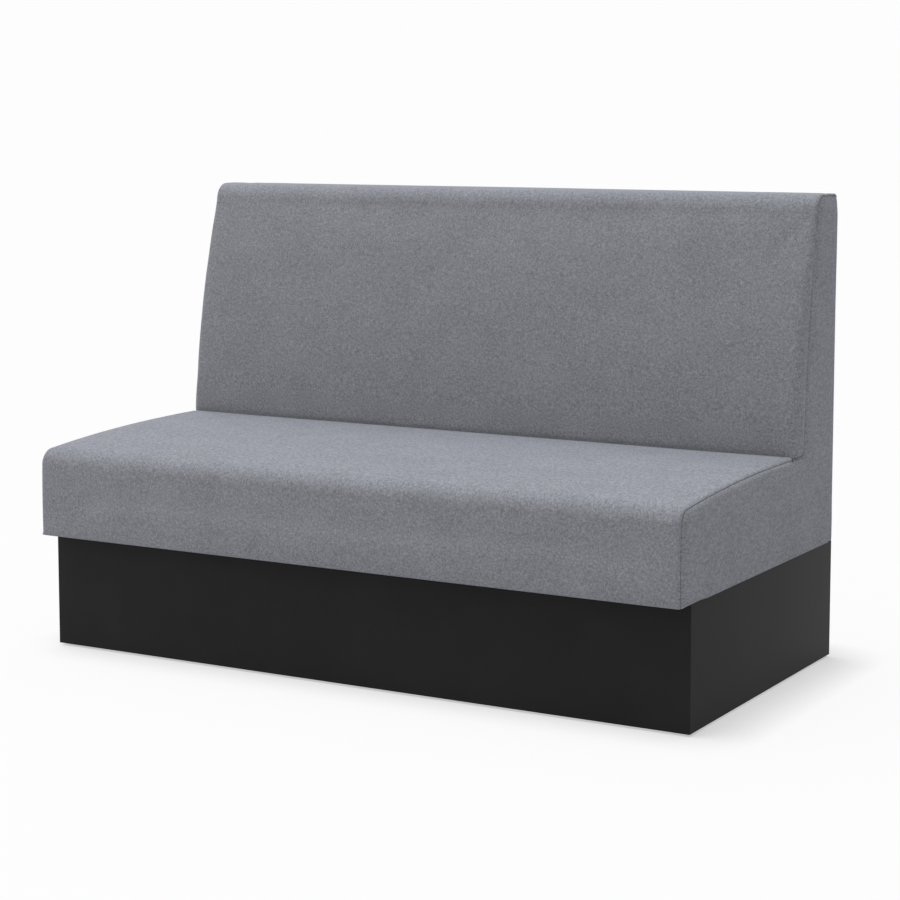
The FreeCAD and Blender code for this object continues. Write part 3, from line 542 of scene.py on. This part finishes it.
seat_corners = [(tuck_end, under + fabric), (rail_front, under + fabric), (rail_front, deck_top),
                (seat_rear, deck_top), (seat_rear, seat_level - 0.010)]
seat_backing = straight_runs(seat_corners, (4, 4, 20, 8))
seat_points = seat_outline(rear_round)
seat_held = (seat_points[:, 1] < under + 0.003) | (seat_points[:, 0] > seat_rear - 0.002)
root = 0.0045
held_near_seam = 0.014
cushion_swell = 0.003


def at_root(side):
    """Section where the cover's edge lies behind the end seam, against the frame."""
    cover = seat_at(side * seam_x)
    flat = moved_in(cover, softness(cover[:, 1]) * seam_in + root)
    return [(side * (frame_end + 0.0003), y, z) for y, z in flat], 1


seat_sections = [at_root(-1)]
for x in stations(117):
    stays = math.exp((abs(x) - seam_x) / held_near_seam)
    seat_sections.append((near_end(x, seat_at(x)), np.maximum(seat_held, stays)))
seat_sections.append(at_root(1))
seat_mesh = closed_form("seat_cushion", seat_backing, seat_sections)
seat_cushion = finish_piece("seat_cushion", seat_mesh, grey_wool, "grey_wool", "seat_cover",
                            "seat_wadding", "seat_foam", "seat_front_foam")
pad_out(seat_cushion, cushion_swell)

# Back cushion: a foam pad on the leaning facing and a foam strip over the top rail, with wadding.
# Its cover runs from the crease over the top to the rear edge, and wraps round onto both ends.
facing_low, facing_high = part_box("back_facing")
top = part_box("back_cover")[1].z
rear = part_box("back_cover")[1].y
back_hem = deck_top + fabric
board_top = facing_high.z
top_round = 0.040
rear_corner = 0.010
lean_middle = 0.031
lean_top = 0.095
top_start = np.array((crease + lean_top, top - top_round))
lean_chord = top_start - (crease, seat_level)
belly = (lean_chord[0] / 2 - lean_middle) * lean_chord[1] / np.linalg.norm(lean_chord)
round_centre = top_start + (top_round, 0)
rear_centre = np.array((rear - rear_corner, top - rear_corner))
foot_drop = 0.004
near_crease = np.array([20, 13, 8, 4.5, 2, 0]) / 1000
lean_shares = np.concatenate([np.linspace(0, 0.94, 40)[1:],
                              1 - near_crease / np.linalg.norm(lean_chord)])
lean_curve = bow(top_start, (crease, seat_level), belly, 400)
lean_points = lean_curve[np.round(lean_shares * len(lean_curve)).astype(int) - 1]
back_outline = np.concatenate([
    [(rear, rear_centre[1])],
    arc(rear_centre, rear_corner, 0, 90, 6),
    run((rear_centre[0], top), (round_centre[0], top), 8),
    arc(round_centre, top_round, 90, 180, 9),
    lean_points,
    [(crease, seat_level - foot_drop)],
])
back_corners = [(crease, seat_level - foot_drop), (crease, back_hem), (facing_low.y, back_hem),
                (facing_high.y - 0.012, board_top), (rear - fabric, board_top),
                (rear - fabric, top - rear_corner)]
back_backing = straight_runs(back_corners, (9, 3, 30, 5, 2))
back_backing[0, 1] -= 0.0005

wrap_rim = 0.0065
wrap_bend = 0.008
wrap_foot = crease + 0.045
wrap_middle = crease + lean_middle + 0.036
wrap_high = crease + lean_top + 0.009
wrap_level = seat_level - foot_drop
bend_top = wrap_level + wrap_bend
seam_levels = (bend_top, (seat_level + top) / 2, top_start[1])
rising_seam = np.poly1d(np.polyfit(seam_levels, (wrap_foot, wrap_middle, wrap_high), 2))


def seam_opposite(point):
    """The seam's point that a point of the back's outline faces on the end of the bench."""
    y, z = point
    low_end = bend_top + 0.005
    if z < low_end:
        turn = math.radians(90) * min(1, (low_end - z) / (low_end - wrap_level))
        return wrap_foot - wrap_bend + wrap_bend * math.cos(turn), bend_top - wrap_bend * math.sin(turn)
    if z <= top_start[1] and y < round_centre[0]:
        level = bend_top + (z - low_end) * (top_start[1] - bend_top) / (top_start[1] - low_end)
        return rising_seam(level), level
    if y < round_centre[0]:
        turn = math.atan2(round_centre[0] - y, z - round_centre[1])
        return (round_centre[0] - (round_centre[0] - wrap_high) * math.sin(turn),
                round_centre[1] + (top_round - wrap_rim) * math.cos(turn))
    if y <= rear_centre[0]:
        return y, top - wrap_rim
    turn = math.atan2(z - rear_centre[1], y - rear_centre[0])
    inner = rear_corner - wrap_rim
    return rear_centre[0] + inner * math.cos(turn), rear_centre[1] + inner * math.sin(turn)


back_round = 0.012
bend_count = 16
crown_count = 60
foot_ys = np.linspace(crease, wrap_foot - wrap_bend, 60)
foot_seam = np.column_stack([foot_ys, np.full(len(foot_ys), wrap_level)])
rising_zs = np.linspace(bend_top, top_start[1], 400)
wrap_seam = np.concatenate([
    foot_seam,
    arc((wrap_foot - wrap_bend, bend_top), wrap_bend, 270, 360, bend_count),
    np.column_stack([rising_seam(rising_zs), rising_zs])[1:],
    np.array([seam_opposite(p) for p in arc(round_centre, top_round, 180, 90, crown_count)]),
    run((round_centre[0], top - wrap_rim), (rear_centre[0], top - wrap_rim), 60),
    arc(rear_centre, rear_corner - wrap_rim, 90, 0, 12),
])
wrap_lengths = np.concatenate([[0], np.cumsum(np.linalg.norm(np.diff(wrap_seam, axis=0), axis=1))])
wrap_depth, deeper_at_foot, less_at_top = 0.0055, 0.0020, 0.0015
wrap_reach, wider_at_foot = 0.0034, 0.0040
at_foot = 1 - ease_in((wrap_lengths - 0.030) / 0.030)
wrap_depths = wrap_depth + deeper_at_foot * at_foot * ease_in(wrap_lengths / 0.012)
wrap_depths -= less_at_top * ease_in((wrap_seam[:, 1] - top_start[1]) / 0.030)
wrap_reaches = wrap_reach + wider_at_foot * at_foot


def rounded_x(distance, radius):
    """Place along the bench of a rounded edge, at a distance behind its front."""
    return end_face - radius + radius * np.sqrt(1 - (1 - np.minimum(distance, radius) / radius) ** 2)


def closest(points, line):
    """Distances from points to a run of points, and which of these is nearest to each."""
    nearest = np.linalg.norm(points[:, None] - line[None], axis=2).argmin(axis=1)
    away = np.full(len(points), np.inf)
    for start in (np.clip(nearest - 1, 0, len(line) - 2), np.clip(nearest, 0, len(line) - 2)):
        way = line[start + 1] - line[start]
        share = ((points - line[start]) * way).sum(axis=1) / (way * way).sum(axis=1)
        foot = line[start] + way * np.clip(share, 0, 1)[:, None]
        away = np.minimum(away, np.linalg.norm(points - foot, axis=1))
    return away, nearest


def wrap_draw(points):
    """How far the back's side seam draws the covers in at points of the end's side view."""
    away, nearest = closest(points, wrap_seam)
    return wrap_depths[nearest] * np.exp(-away / wrap_reaches[nearest])


def settle(points):
    """Points in space, with the upholstery pressed in a little at its top rear corners."""
    end_reach, press_reach, tip_reach = 0.045, 0.055, 0.020
    tip_in, press_in, press_down = 0.004, 0.006, 0.0015
    end = ease_in((np.abs(points[:, 0]) - end_face + end_reach) / end_reach)
    gap = np.hypot(points[:, 1] - rear, points[:, 2] - top)
    near = end * ease_in(1 - gap / press_reach)
    tip = np.sign(points[:, 0]) * end * ease_in(1 - gap / tip_reach)
    return points - np.column_stack([tip * tip_in, near * press_in, near * press_down])


def settle_mesh(mesh):
    """The same for a whole mesh."""
    places = np.array([vert.co for vert in mesh.vertices])
    mesh.vertices.foreach_set("co", settle(places).ravel())


back_normals = outward(back_outline)
back_normals[-2:] = (-1, 0)
opposite = np.array([seam_opposite(p) for p in back_outline])
across_end = opposite - back_outline
reaches = np.linalg.norm(across_end, axis=1)
radii = np.minimum(back_round, reaches)
past_corner = np.maximum(0, rear - 0.004 - back_outline[:, 0])
rear_gaps = np.abs(back_outline[:, 1] - rear_centre[1]) + past_corner
rear_groove = 0.0014
rear_draw = rear_groove * np.exp(-rear_gaps / groove_reach)
back_cover_line = back_outline - back_normals * rear_draw[:, None]
back_held = (back_outline[:, 1] < seat_level + 0.001) | (back_outline[:, 0] > rear - 0.003)


def back_end(side):
    """Sections round one end of the back: over its rounded edge and on to the side seam."""
    held_near_wrap = 0.010
    made = []
    for share in (0, 0.03, 0.08, 0.15, 0.24, 0.35, 0.47, 0.59, 0.70, 0.79, 0.86, 0.915, 0.955, 0.985, 1):
        flat = back_outline + across_end * share
        foot_y = crease + (wrap_foot - wrap_bend - crease) * share
        flat[-1] = (foot_y, wrap_level)
        x = rounded_x(reaches * share, radii) - wrap_draw(flat) * ease_in(share / 0.15)
        flat -= back_normals * (rear_draw * (1 - share))[:, None]
        stays = np.exp(-reaches * (1 - share) / held_near_wrap)
        made.append((np.column_stack([side * x, flat]), stays))
    wall = made[-1][0].copy()
    wall[:, 0] = side * (frame_end + 0.0004)
    made.append((wall, 1))
    return made


plain_half = 0.732
plain_xs = np.linspace(-plain_half, plain_half, 119)
plain_part = [([(x, y, z) for y, z in back_cover_line], 0) for x in plain_xs]
back_sections = [(points, np.maximum(back_held, stays))
                 for points, stays in (*reversed(back_end(-1)), *plain_part, *back_end(1))]
back_mesh = closed_form("back_cushion", back_backing, back_sections)
settle_mesh(back_mesh)
back_cushion = finish_piece("back_cushion", back_mesh, grey_wool, "grey_wool", "back_cover",
                            "back_wadding", "back_foam", "back_top_foam")
pad_out(back_cushion, cushion_swell)


# End panels: an L-shaped foam pad at each end under one flat piece of fabric. It is sewn to the seat,
# back and rear covers along its edge, and its lower edge is turned in and stapled under the frame.
def even(points, count):
    """A run of points shared out again: evenly along its length, closer where it turns."""
    turn_weight = 0.03
    steps = np.diff(points, axis=0)
    length = np.linalg.norm(steps, axis=1)
    angle = np.unwrap(np.arctan2(steps[:, 1], steps[:, 0]))
    pace = np.concatenate([[0], np.cumsum(length + turn_weight * np.abs(np.gradient(angle)))])
    wanted = np.linspace(0, pace[-1], count + 1)
    return np.column_stack([np.interp(wanted, pace, points[:, k]) for k in (0, 1)])


def coons(bottom, top_side, left, right):
    """Points of a patch between four runs: two along its rows, left and right up its columns."""
    u = np.linspace(0, 1, len(bottom))[None, :, None]
    v = np.linspace(0, 1, len(left))[:, None, None]
    ruled_up = (1 - v) * bottom[None] + v * top_side[None]
    ruled_across = (1 - u) * left[:, None] + u * right[:, None]
    corners = ((1 - u) * (1 - v) * bottom[0] + u * (1 - v) * bottom[-1]
               + (1 - u) * v * top_side[0] + u * v * top_side[-1])
    return ruled_up + ruled_across - corners


heel_round = 0.0055
flap_depth = 0.056
heel_y = rear - flap_depth
heel_centre = (rear - heel_round, under + heel_round)
seat_view = seat_outline(corner_round, finer=12)
seat_line = moved_in(seat_view, softness(seat_view[:, 1]) * seam_in)[::-1]
foot_at = np.abs(seat_line - (face, under)).sum(axis=1).argmin()
nose_at = np.abs(seat_line - (face, nose_top)).sum(axis=1).argmin()
top_end = np.flatnonzero(seat_line[:, 0] < crease - 0.004)[-1]
wrap_gap = 0.00015
wrap_line = wrap_seam + outward(wrap_seam) * wrap_gap
bend_at = len(foot_seam) + bend_count // 2
round_at = len(foot_seam) + bend_count + len(rising_zs) - 1 + crown_count // 2
rear_view = np.concatenate([
    [(heel_centre[0] - 0.020, under)],
    run((heel_centre[0] - 0.020, under), (heel_centre[0], under), 40),
    arc(heel_centre, heel_round, 270, 360, 40),
    run((rear, heel_centre[1]), (rear, rear_centre[1] - 0.004), 700),
])
rear_seam = moved_in(rear_view, softness(rear_view[:, 1]) * seam_in)[::-1]
heel_at = np.abs(rear_seam - (rear, under)).sum(axis=1).argmin()
heel_count = 180
underside_ys = np.concatenate([np.linspace(rear_seam[-1][0], wrap_foot, heel_count),
                               np.linspace(wrap_foot, tuck_end, 600)[1:]])
underside = np.column_stack([underside_ys, np.full(len(underside_ys), rear_seam[-1][1])])
front_run = seat_line[foot_at:nose_at + 1]
top_run = np.concatenate([seat_line[nose_at:top_end], wrap_line[:bend_at]])
back_run = wrap_line[bend_at - 1:round_at]
crown_run = wrap_line[round_at - 1:]
to_rear = run(crown_run[-1], rear_seam[0], 4)
rear_run = np.concatenate([crown_run[-1:], to_rear, rear_seam[1:heel_at + 1]])
heel_run = np.concatenate([rear_seam[heel_at:], underside[1:heel_count]])
foot_run = np.concatenate([underside[heel_count - 1:-1], seat_line[:foot_at + 1]])
rise, depth, height, thick = 24, 50, 48, 22
runs = ((front_run, rise), (top_run, depth), (back_run, height), (crown_run, thick),
        (rear_run, rise + height), (heel_run, thick), (foot_run, depth))
outline = np.concatenate([even(points, count)[:-1] for points, count in runs])
loop = np.concatenate([outline[-1:], outline, outline[:1]])
tangents = loop[2:] - loop[:-2]
lengths = np.linalg.norm(tangents, axis=1)
edge_normals = np.column_stack([-tangents[:, 1], tangents[:, 0]]) / lengths[:, None]
for _ in range(12):
    beside = np.roll(edge_normals, 1, axis=0) + np.roll(edge_normals, -1, axis=0)
    edge_normals = (beside + 2 * edge_normals) / 4
edge_normals /= np.linalg.norm(edge_normals, axis=1)[:, None]
# The insets shrink where the outline bends in, so that the rings near the edge don't cross.
pace = lengths / 2
before, after = np.diff(loop, axis=0)[:-1], np.diff(loop, axis=0)[1:]
bending = before[:, 1] * after[:, 0] - before[:, 0] * after[:, 1]
room = np.clip(94 * pace ** 3 / np.maximum(bending, 1e-12), 0.25, 1)
for _ in range(10):
    room = np.minimum(room, (np.roll(room, 1) + np.roll(room, -1)) / 2 + 0.02)
seat_seam = seat_line[:top_end]
bottom_round = 0.003
flap_start = 0.012
to_flap = ease_in((outline[:, 0] - tuck_end) / flap_start)
to_flap *= ease_in((heel_y - outline[:, 0]) / flap_start) * (outline[:, 1] < under + 0.005)
foot_round_x = end_face - rounded_x(wrap_seam[:, 0] - crease, back_round)
foot_round_x[wrap_lengths >= 0.04] = 0


def end_x(points):
    """Place along the bench of the end panel's face: rounded and drawn in towards each of its edges."""
    total = np.zeros(len(points))
    for seam_line in (seat_seam, rear_seam):
        away, nearest = closest(points, seam_line)
        total += (softness(seam_line[nearest, 1]) * (turned(away) + drawn(away))) ** 3
    total += (bottom_round * np.clip(1 - (points[:, 1] - under) / 0.005, 0, 1) ** 2) ** 3
    away, nearest = closest(points, wrap_seam)
    rim = at_foot[nearest] * np.maximum(0, 1 - away / 0.013) ** 2
    rim *= foot_round_x[nearest] + wrap_depths[nearest]
    side_groove = wrap_depths[nearest] * np.exp(-away / wrap_reaches[nearest]) * (1 - at_foot[nearest])
    total += (rim + side_groove) ** 3
    return end_face - np.cbrt(total)


def end_panel(name, side):
    """Closed L-shaped pad: back face, wall, turned-in flap, edge drawn in at the seam, outer face."""
    held_near_edge = 0.010
    flap_x = end_face - flap_depth
    back_x = frame_end + 0.0006
    seam = end_x(outline)
    sewn_edge = (closest(outline, seat_seam)[0] < 0.001) | (closest(outline, rear_seam)[0] < 0.001)
    rooted = outline - edge_normals * (root * sewn_edge)[:, None]
    lifted = outline - edge_normals * fabric
    work = bmesh.new()
    layer = work.verts.layers.float.new("held")

    def add_ring(xs, flat, held):
        """Points of a side view at their places along the bench."""
        points = np.column_stack([side * np.broadcast_to(xs, len(flat)), flat])
        return add_points(work, layer, points, held)

    turned_in = to_flap[:, None] * lifted + (1 - to_flap[:, None]) * rooted
    walls = [
        (back_x, turned_in),
        (to_flap * flap_x + (1 - to_flap) * (back_x + fabric), turned_in),
        (to_flap * flap_x + (1 - to_flap) * (seam - fabric), outline),
        (seam, outline),
    ]
    rings = [add_ring(xs, flat, 1) for xs, flat in walls]
    for inset in (0.0006, 0.0014, 0.0025, 0.0040, 0.0058, 0.0080):
        flat = outline - edge_normals * (inset * room)[:, None]
        rings.append(add_ring(end_x(flat), flat, math.exp(-inset / held_near_edge)))
    join_runs(work, rings)
    close_end(work, rings[0])
    corners = np.cumsum([0] + [count for points, count in runs])
    around = np.concatenate([flat, flat[:1]])
    up_front, over_seat, up_back, over_back, down_rear, heel_part, foot_part = [
        around[start:end + 1] for start, end in zip(corners, corners[1:])]
    inside = np.linspace(foot_part[0], up_back[0], rise + 1)
    seat_patch = coons(foot_part[::-1], over_seat, up_front, inside)
    up_inside = np.concatenate([inside, up_back[1:]])
    back_patch = coons(heel_part[::-1], over_back, up_inside, down_rear[::-1])
    for patch in (seat_patch, back_patch):
        stays = [np.exp(-closest(row, outline)[0] / held_near_edge) for row in patch]
        join_runs(work, [add_ring(end_x(row), row, s) for row, s in zip(patch, stays)], closed=False)
    bmesh.ops.remove_doubles(work, verts=work.verts, dist=0.00002)
    mesh = mesh_from(work, name)
    settle_mesh(mesh)
    return mesh


for side_name, side in (("left", -1), ("right", 1)):
    name = f"{side_name}_end_panel"
    panel = finish_piece(name, end_panel(name, side), grey_wool, "grey_wool",
                         f"{side_name}_side_cover", f"{side_name}_side_pad")
    pad_out(panel, swell=0.0012)

# Rear cover: fabric stretched over the thin rear board, turned in under the frame and stapled.
# The bench stands against a wall, so it is plain.
rear_outline = np.concatenate([
    [(heel_y, under)],
    run((heel_y, under), (rear - heel_round, under), 5),
    arc(heel_centre, heel_round, 270, 360, 5),
    run((rear, heel_centre[1]), (rear, rear_centre[1] - 0.012), 60),
    run((rear, rear_centre[1] - 0.012), (rear, rear_centre[1] - 0.0003), 6),
])
to_top = rear_outline[:, 1] - rear_centre[1]
rear_outline = moved_in(rear_outline, rear_groove * np.exp(to_top / groove_reach))
sheet_thick = 0.0016
work = bmesh.new()
rings = []
for x in stations(80):
    outer = near_end(x, rear_outline)
    inner = outer.copy()
    inner[:, 1:] -= outward(outer[:, 1:]) * sheet_thick
    rings.append([work.verts.new(point) for point in np.concatenate([outer, inner[::-1]])])
join_runs(work, rings)
strip = len(rear_outline)
for ring in (rings[0], rings[-1]):
    for i in range(strip - 1):
        work.faces.new((ring[i], ring[i + 1], ring[-i - 2], ring[-i - 1]))
rear_mesh = mesh_from(work, "rear_cover_cloth")
settle_mesh(rear_mesh)
rear_piece = finish_piece("rear_cover_cloth", rear_mesh, grey_wool, "grey_wool", "rear_cover")
shade_smooth(rear_mesh, 40)

# Dust cover: thin black felt that closes the underside of the frame, stapled along its edges.
# It hangs a little between the plinth's ribs.
felt_black = (0.02, 0.02, 0.02)
dust_felt, tree, shader = new_material("black_dust_felt", felt_black, 0.95)
felt_fibres = noise(tree, 700, 3.0)
two_tone(tree, shader, spread(tree, felt_fibres), (0.012, 0.012, 0.012), (0.045, 0.045, 0.045))
bumps(tree, shader, felt_fibres, 0.0004)
dust_low, dust_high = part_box("dust_cover")
rib_x = (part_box("plinth_rib_right")[0].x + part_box("plinth_rib_right")[1].x) / 2
felt_thick = 0.0012
felt_sag = 0.002
columns = np.linspace(dust_low.x, dust_high.x, 112)
rows = np.linspace(dust_low.y, dust_high.y, 52)
supports = np.array((dust_low.x, -rib_x, rib_x, dust_high.x))
bay = np.clip(np.searchsorted(supports, columns) - 1, 0, 2)
in_bay = (columns - supports[bay]) / (supports[bay + 1] - supports[bay])
in_depth = (rows - dust_low.y) / (dust_high.y - dust_low.y)
across_bay = np.sin(np.clip(in_bay, 0, 1) * math.pi) ** 2
sag = felt_sag * np.outer(np.sin(in_depth * math.pi) ** 0.7, across_bay)
work = bmesh.new()
grid = [[work.verts.new((x, y, under + fabric - 0.0001 - drop)) for x, drop in zip(columns, drops)]
        for y, drops in zip(rows, sag)]
join_runs(work, list(zip(*grid)), closed=False)
felt_mesh = bpy.data.meshes.new("dust_cover_felt")
work.to_mesh(felt_mesh)
work.free()
shade_smooth(felt_mesh, 40)
felt_piece = finish_piece("dust_cover_felt", felt_mesh, dust_felt, "black_felt", "dust_cover")
thickness = felt_piece.modifiers.new("Thickness", "SOLIDIFY")
thickness.thickness = felt_thick
thickness.offset = 1.0


# Seam threads and staples: every seam is lockstitched in dark grey thread, which lies in its groove.
# Steel staples hold the felt and the turned-in covers to the frame's underside.
def repeated(name, lines, pitch, length, thick, material, slot):
    """Short round bars at an even pitch along open lines of points, made by geometry nodes."""
    path = bpy.data.meshes.new(name + "_path")
    starts = np.cumsum([0] + [len(line) for line in lines])
    links = [(i, i + 1) for start, end in zip(starts, starts[1:]) for i in range(start, end - 1)]
    path.from_pydata([tuple(p) for p in np.concatenate(lines)], links, [])
    carrier = new_object(name + "_path", path)
    tree = bpy.data.node_groups.new(name, "GeometryNodeTree")
    for kind in ("INPUT", "OUTPUT"):
        tree.interface.new_socket("Geometry", in_out=kind, socket_type="NodeSocketGeometry")
    given = add(tree, "NodeGroupInput", {})
    curve = add(tree, "GeometryNodeMeshToCurve", {"Mesh": given.outputs["Geometry"]})
    spaced = add(tree, "GeometryNodeResampleCurve",
                 {"Curve": curve.outputs[0], "Length": pitch}, mode="LENGTH")
    way = add(tree, "GeometryNodeInputTangent", {})
    turn = add(tree, "FunctionNodeAlignRotationToVector", {"Vector": way.outputs[0]}, axis="Z")
    line = add(tree, "GeometryNodeCurvePrimitiveLine", {"End": (0, 0, length)})
    ring = add(tree, "GeometryNodeCurvePrimitiveCircle", {"Resolution": 6, "Radius": thick / 2})
    bar = add(tree, "GeometryNodeCurveToMesh",
              {"Curve": line.outputs[0], "Profile Curve": ring.outputs[0], "Fill Caps": True})
    placed = add(tree, "GeometryNodeInstanceOnPoints",
                 {"Points": spaced.outputs[0], "Instance": bar.outputs[0], "Rotation": turn.outputs[0]})
    real = add(tree, "GeometryNodeRealizeInstances", {0: placed.outputs[0]})
    add(tree, "NodeGroupOutput", {"Geometry": real.outputs[0]})
    carrier.modifiers.new(name, "NODES").node_group = tree
    seen = carrier.evaluated_get(bpy.context.evaluated_depsgraph_get())
    mesh = bpy.data.meshes.new_from_object(seen)
    bpy.data.objects.remove(carrier)
    mesh.name = name
    return finish_piece(name, mesh, material, slot)


thread_grey = (0.055, 0.056, 0.062)
grey_thread, tree, shader = new_material("dark_grey_thread", thread_grey, 0.6)
twist = noise(tree, 2500, 2.0)
two_tone(tree, shader, twist, (0.035, 0.036, 0.040), (0.085, 0.087, 0.095))
bumps(tree, shader, twist, 0.0001)
above = 0.0001
seam_lines = []
for side in (-1, 1):
    for flat in (seat_seam, wrap_seam, rear_seam):
        seam_lines.append(settle(np.column_stack([side * (end_x(flat) + above), flat])))
top_seam_y = rear - rear_groove + above
top_seam_half = 0.735
top_seam_xs = np.linspace(-top_seam_half, top_seam_half, 200)
seam_lines.append(np.array([(x, top_seam_y, rear_centre[1]) for x in top_seam_xs]))
repeated("seam_threads", seam_lines, pitch=0.0042, length=0.0033, thick=0.0005,
         material=grey_thread, slot="grey_wool")

edge_in = 0.009
staple_level = under - 0.0002
staple_ys = [y for gap in (edge_in, -edge_in) for y in (dust_low.y + gap, dust_high.y - gap)]
staple_xs = [x for gap in (edge_in, -edge_in) for x in (dust_low.x + gap, dust_high.x - gap)]
along_x = np.linspace(-0.67, 0.67, 30)
along_y = np.linspace(-0.26, 0.31, 12)
staple_lines = [np.array([(x, y, staple_level) for x in along_x]) for y in staple_ys]
staple_lines += [np.array([(x, y, staple_level) for y in along_y]) for x in staple_xs]
repeated("cover_staples", staple_lines, pitch=0.045, length=0.010, thick=0.0011,
         material=zinc_steel, slot="zinc_steel")

# Studio: a white floor that runs out into the same white all round, under soft light from above; round
# the bench its glow holds a painted shadow.
# A camera looks down on the bench's right front corner.
backdrop_white = 0.982
sky_light = 0.415
sky_colour = (0.99, 0.99, 0.985)
lamp_strength = 2.1
lamp_colour = (0.96, 0.985, 1.09)
lamp_way = np.array((-0.30, 0.05, 0.95))
lamp_way /= np.linalg.norm(lamp_way)
# Painted shadow on the floor: how dark it gets, how far it reaches, its tilt towards the lamp, and the
# small share of real shadow that is kept.
shade_kept = 0.08
near_shade = 0.56
near_shade_reach = 0.13
near_shade_side = (-0.42, -0.28, 0.86)
floor_half = 60.0
floor_mesh = bpy.data.meshes.new("floor")
floor_corners = [(x * floor_half, y * floor_half, 0) for x, y in ((-1, -1), (1, -1), (1, 1), (-1, 1))]
floor_mesh.from_pydata(floor_corners, [], [(0, 1, 2, 3)])
floor = new_object("floor", floor_mesh)
floor_white = bpy.data.materials.new("studio_floor")
floor_white.use_nodes = True
tree = floor_white.node_tree
tree.nodes.clear()


def seen_directly(tree):
    """1 for rays of the camera and for mirrored or refracted ones, 0 for rays of diffuse light."""
    rays = add(tree, "ShaderNodeLightPath", {}).outputs
    either = maths(tree, "MAXIMUM", rays["Is Camera Ray"], rays["Is Glossy Ray"])
    return maths(tree, "MAXIMUM", either, rays["Is Transmission Ray"])


lamp_light = lamp_strength * lamp_way[2] / math.pi
lit_white = [backdrop_white / (sky_light * s + lamp_light * c) for s, c in zip(sky_colour, lamp_colour)]
shaded = add(tree, "ShaderNodeBsdfDiffuse", {"Color": (*lit_white, 1)})
# Painted shadow: seen directly, the floor is a white glow dimmed by ambient occlusion near the bench,
# tilted towards the lamp, mixed with a little real shadow.
toward_lamp = add(tree, "ShaderNodeCombineXYZ", {i: side for i, side in enumerate(near_shade_side)})
openness = add(tree, "ShaderNodeAmbientOcclusion",
               {"Distance": near_shade_reach, "Normal": toward_lamp.outputs[0]}, samples=8)
level = maths(tree, "MULTIPLY_ADD", openness.outputs["AO"], near_shade, 1 - near_shade)
painted_shade_glow = add(tree, "ShaderNodeEmission", {"Color": (backdrop_white,) * 3 + (1,), "Strength": level})
shown = add(tree, "ShaderNodeMixShader", {0: shade_kept, 1: painted_shade_glow.outputs[0], 2: shaded.outputs[0]})
bounce = add(tree, "ShaderNodeBsdfDiffuse", {"Color": (0.55, 0.55, 0.55, 1)})
surface = add(tree, "ShaderNodeMixShader",
              {0: seen_directly(tree), 1: bounce.outputs[0], 2: shown.outputs[0]})
add(tree, "ShaderNodeOutputMaterial", {"Surface": surface.outputs[0]})
floor_mesh.materials.append(floor_white)

world = bpy.data.worlds.new("studio")
bpy.context.scene.world = world
world.use_nodes = True
tree = world.node_tree
surround = tree.nodes["Background"]
surround.inputs["Color"].default_value = (*sky_colour, 1)
surround.inputs["Strength"].default_value = sky_light
backdrop = add(tree, "ShaderNodeBackground", {"Color": (backdrop_white,) * 3 + (1,), "Strength": 1.0})
seen = add(tree, "ShaderNodeMixShader",
           {0: seen_directly(tree), 1: surround.outputs[0], 2: backdrop.outputs[0]})
tree.links.new(seen.outputs[0], tree.nodes["World Output"].inputs["Surface"])

softlight = bpy.data.lights.new("softlight", "SUN")
softlight.energy = lamp_strength
softlight.color = lamp_colour
softlight.angle = math.radians(66)
softlight_lamp = new_object("softlight", softlight)
softlight_lamp.location = (-1.0, -0.6, 3.2)
tilt = math.acos(lamp_way[2])
softlight_lamp.rotation_euler = (0, tilt, math.atan2(lamp_way[1], lamp_way[0]))

fill = bpy.data.lights.new("fill", "AREA")
fill.shape = "SQUARE"
fill.size = 1.5
fill.energy = 7.5
fill_lamp = new_object("fill", fill)
fill_lamp.location = (-2.2, -2.6, 1.6)
fill_lamp.rotation_euler = (math.radians(72), 0, math.radians(-38))

picture_width = 900
focal_length = 2272.93
camera_data = bpy.data.cameras.new("camera")
camera_data.sensor_width = 36
camera_data.lens = focal_length / picture_width * camera_data.sensor_width
camera_data.shift_y = -0.1
camera_data.clip_end = 200
camera = new_object("camera", camera_data)
camera.location = (2.400, -4.1153, 1.1491)
look_down = 6.215
look_left = 29.835
camera.rotation_euler = (math.radians(90 - look_down), 0, math.radians(look_left))
bpy.context.scene.camera = camera

bpy.context.scene.view_settings.view_transform = "Standard"
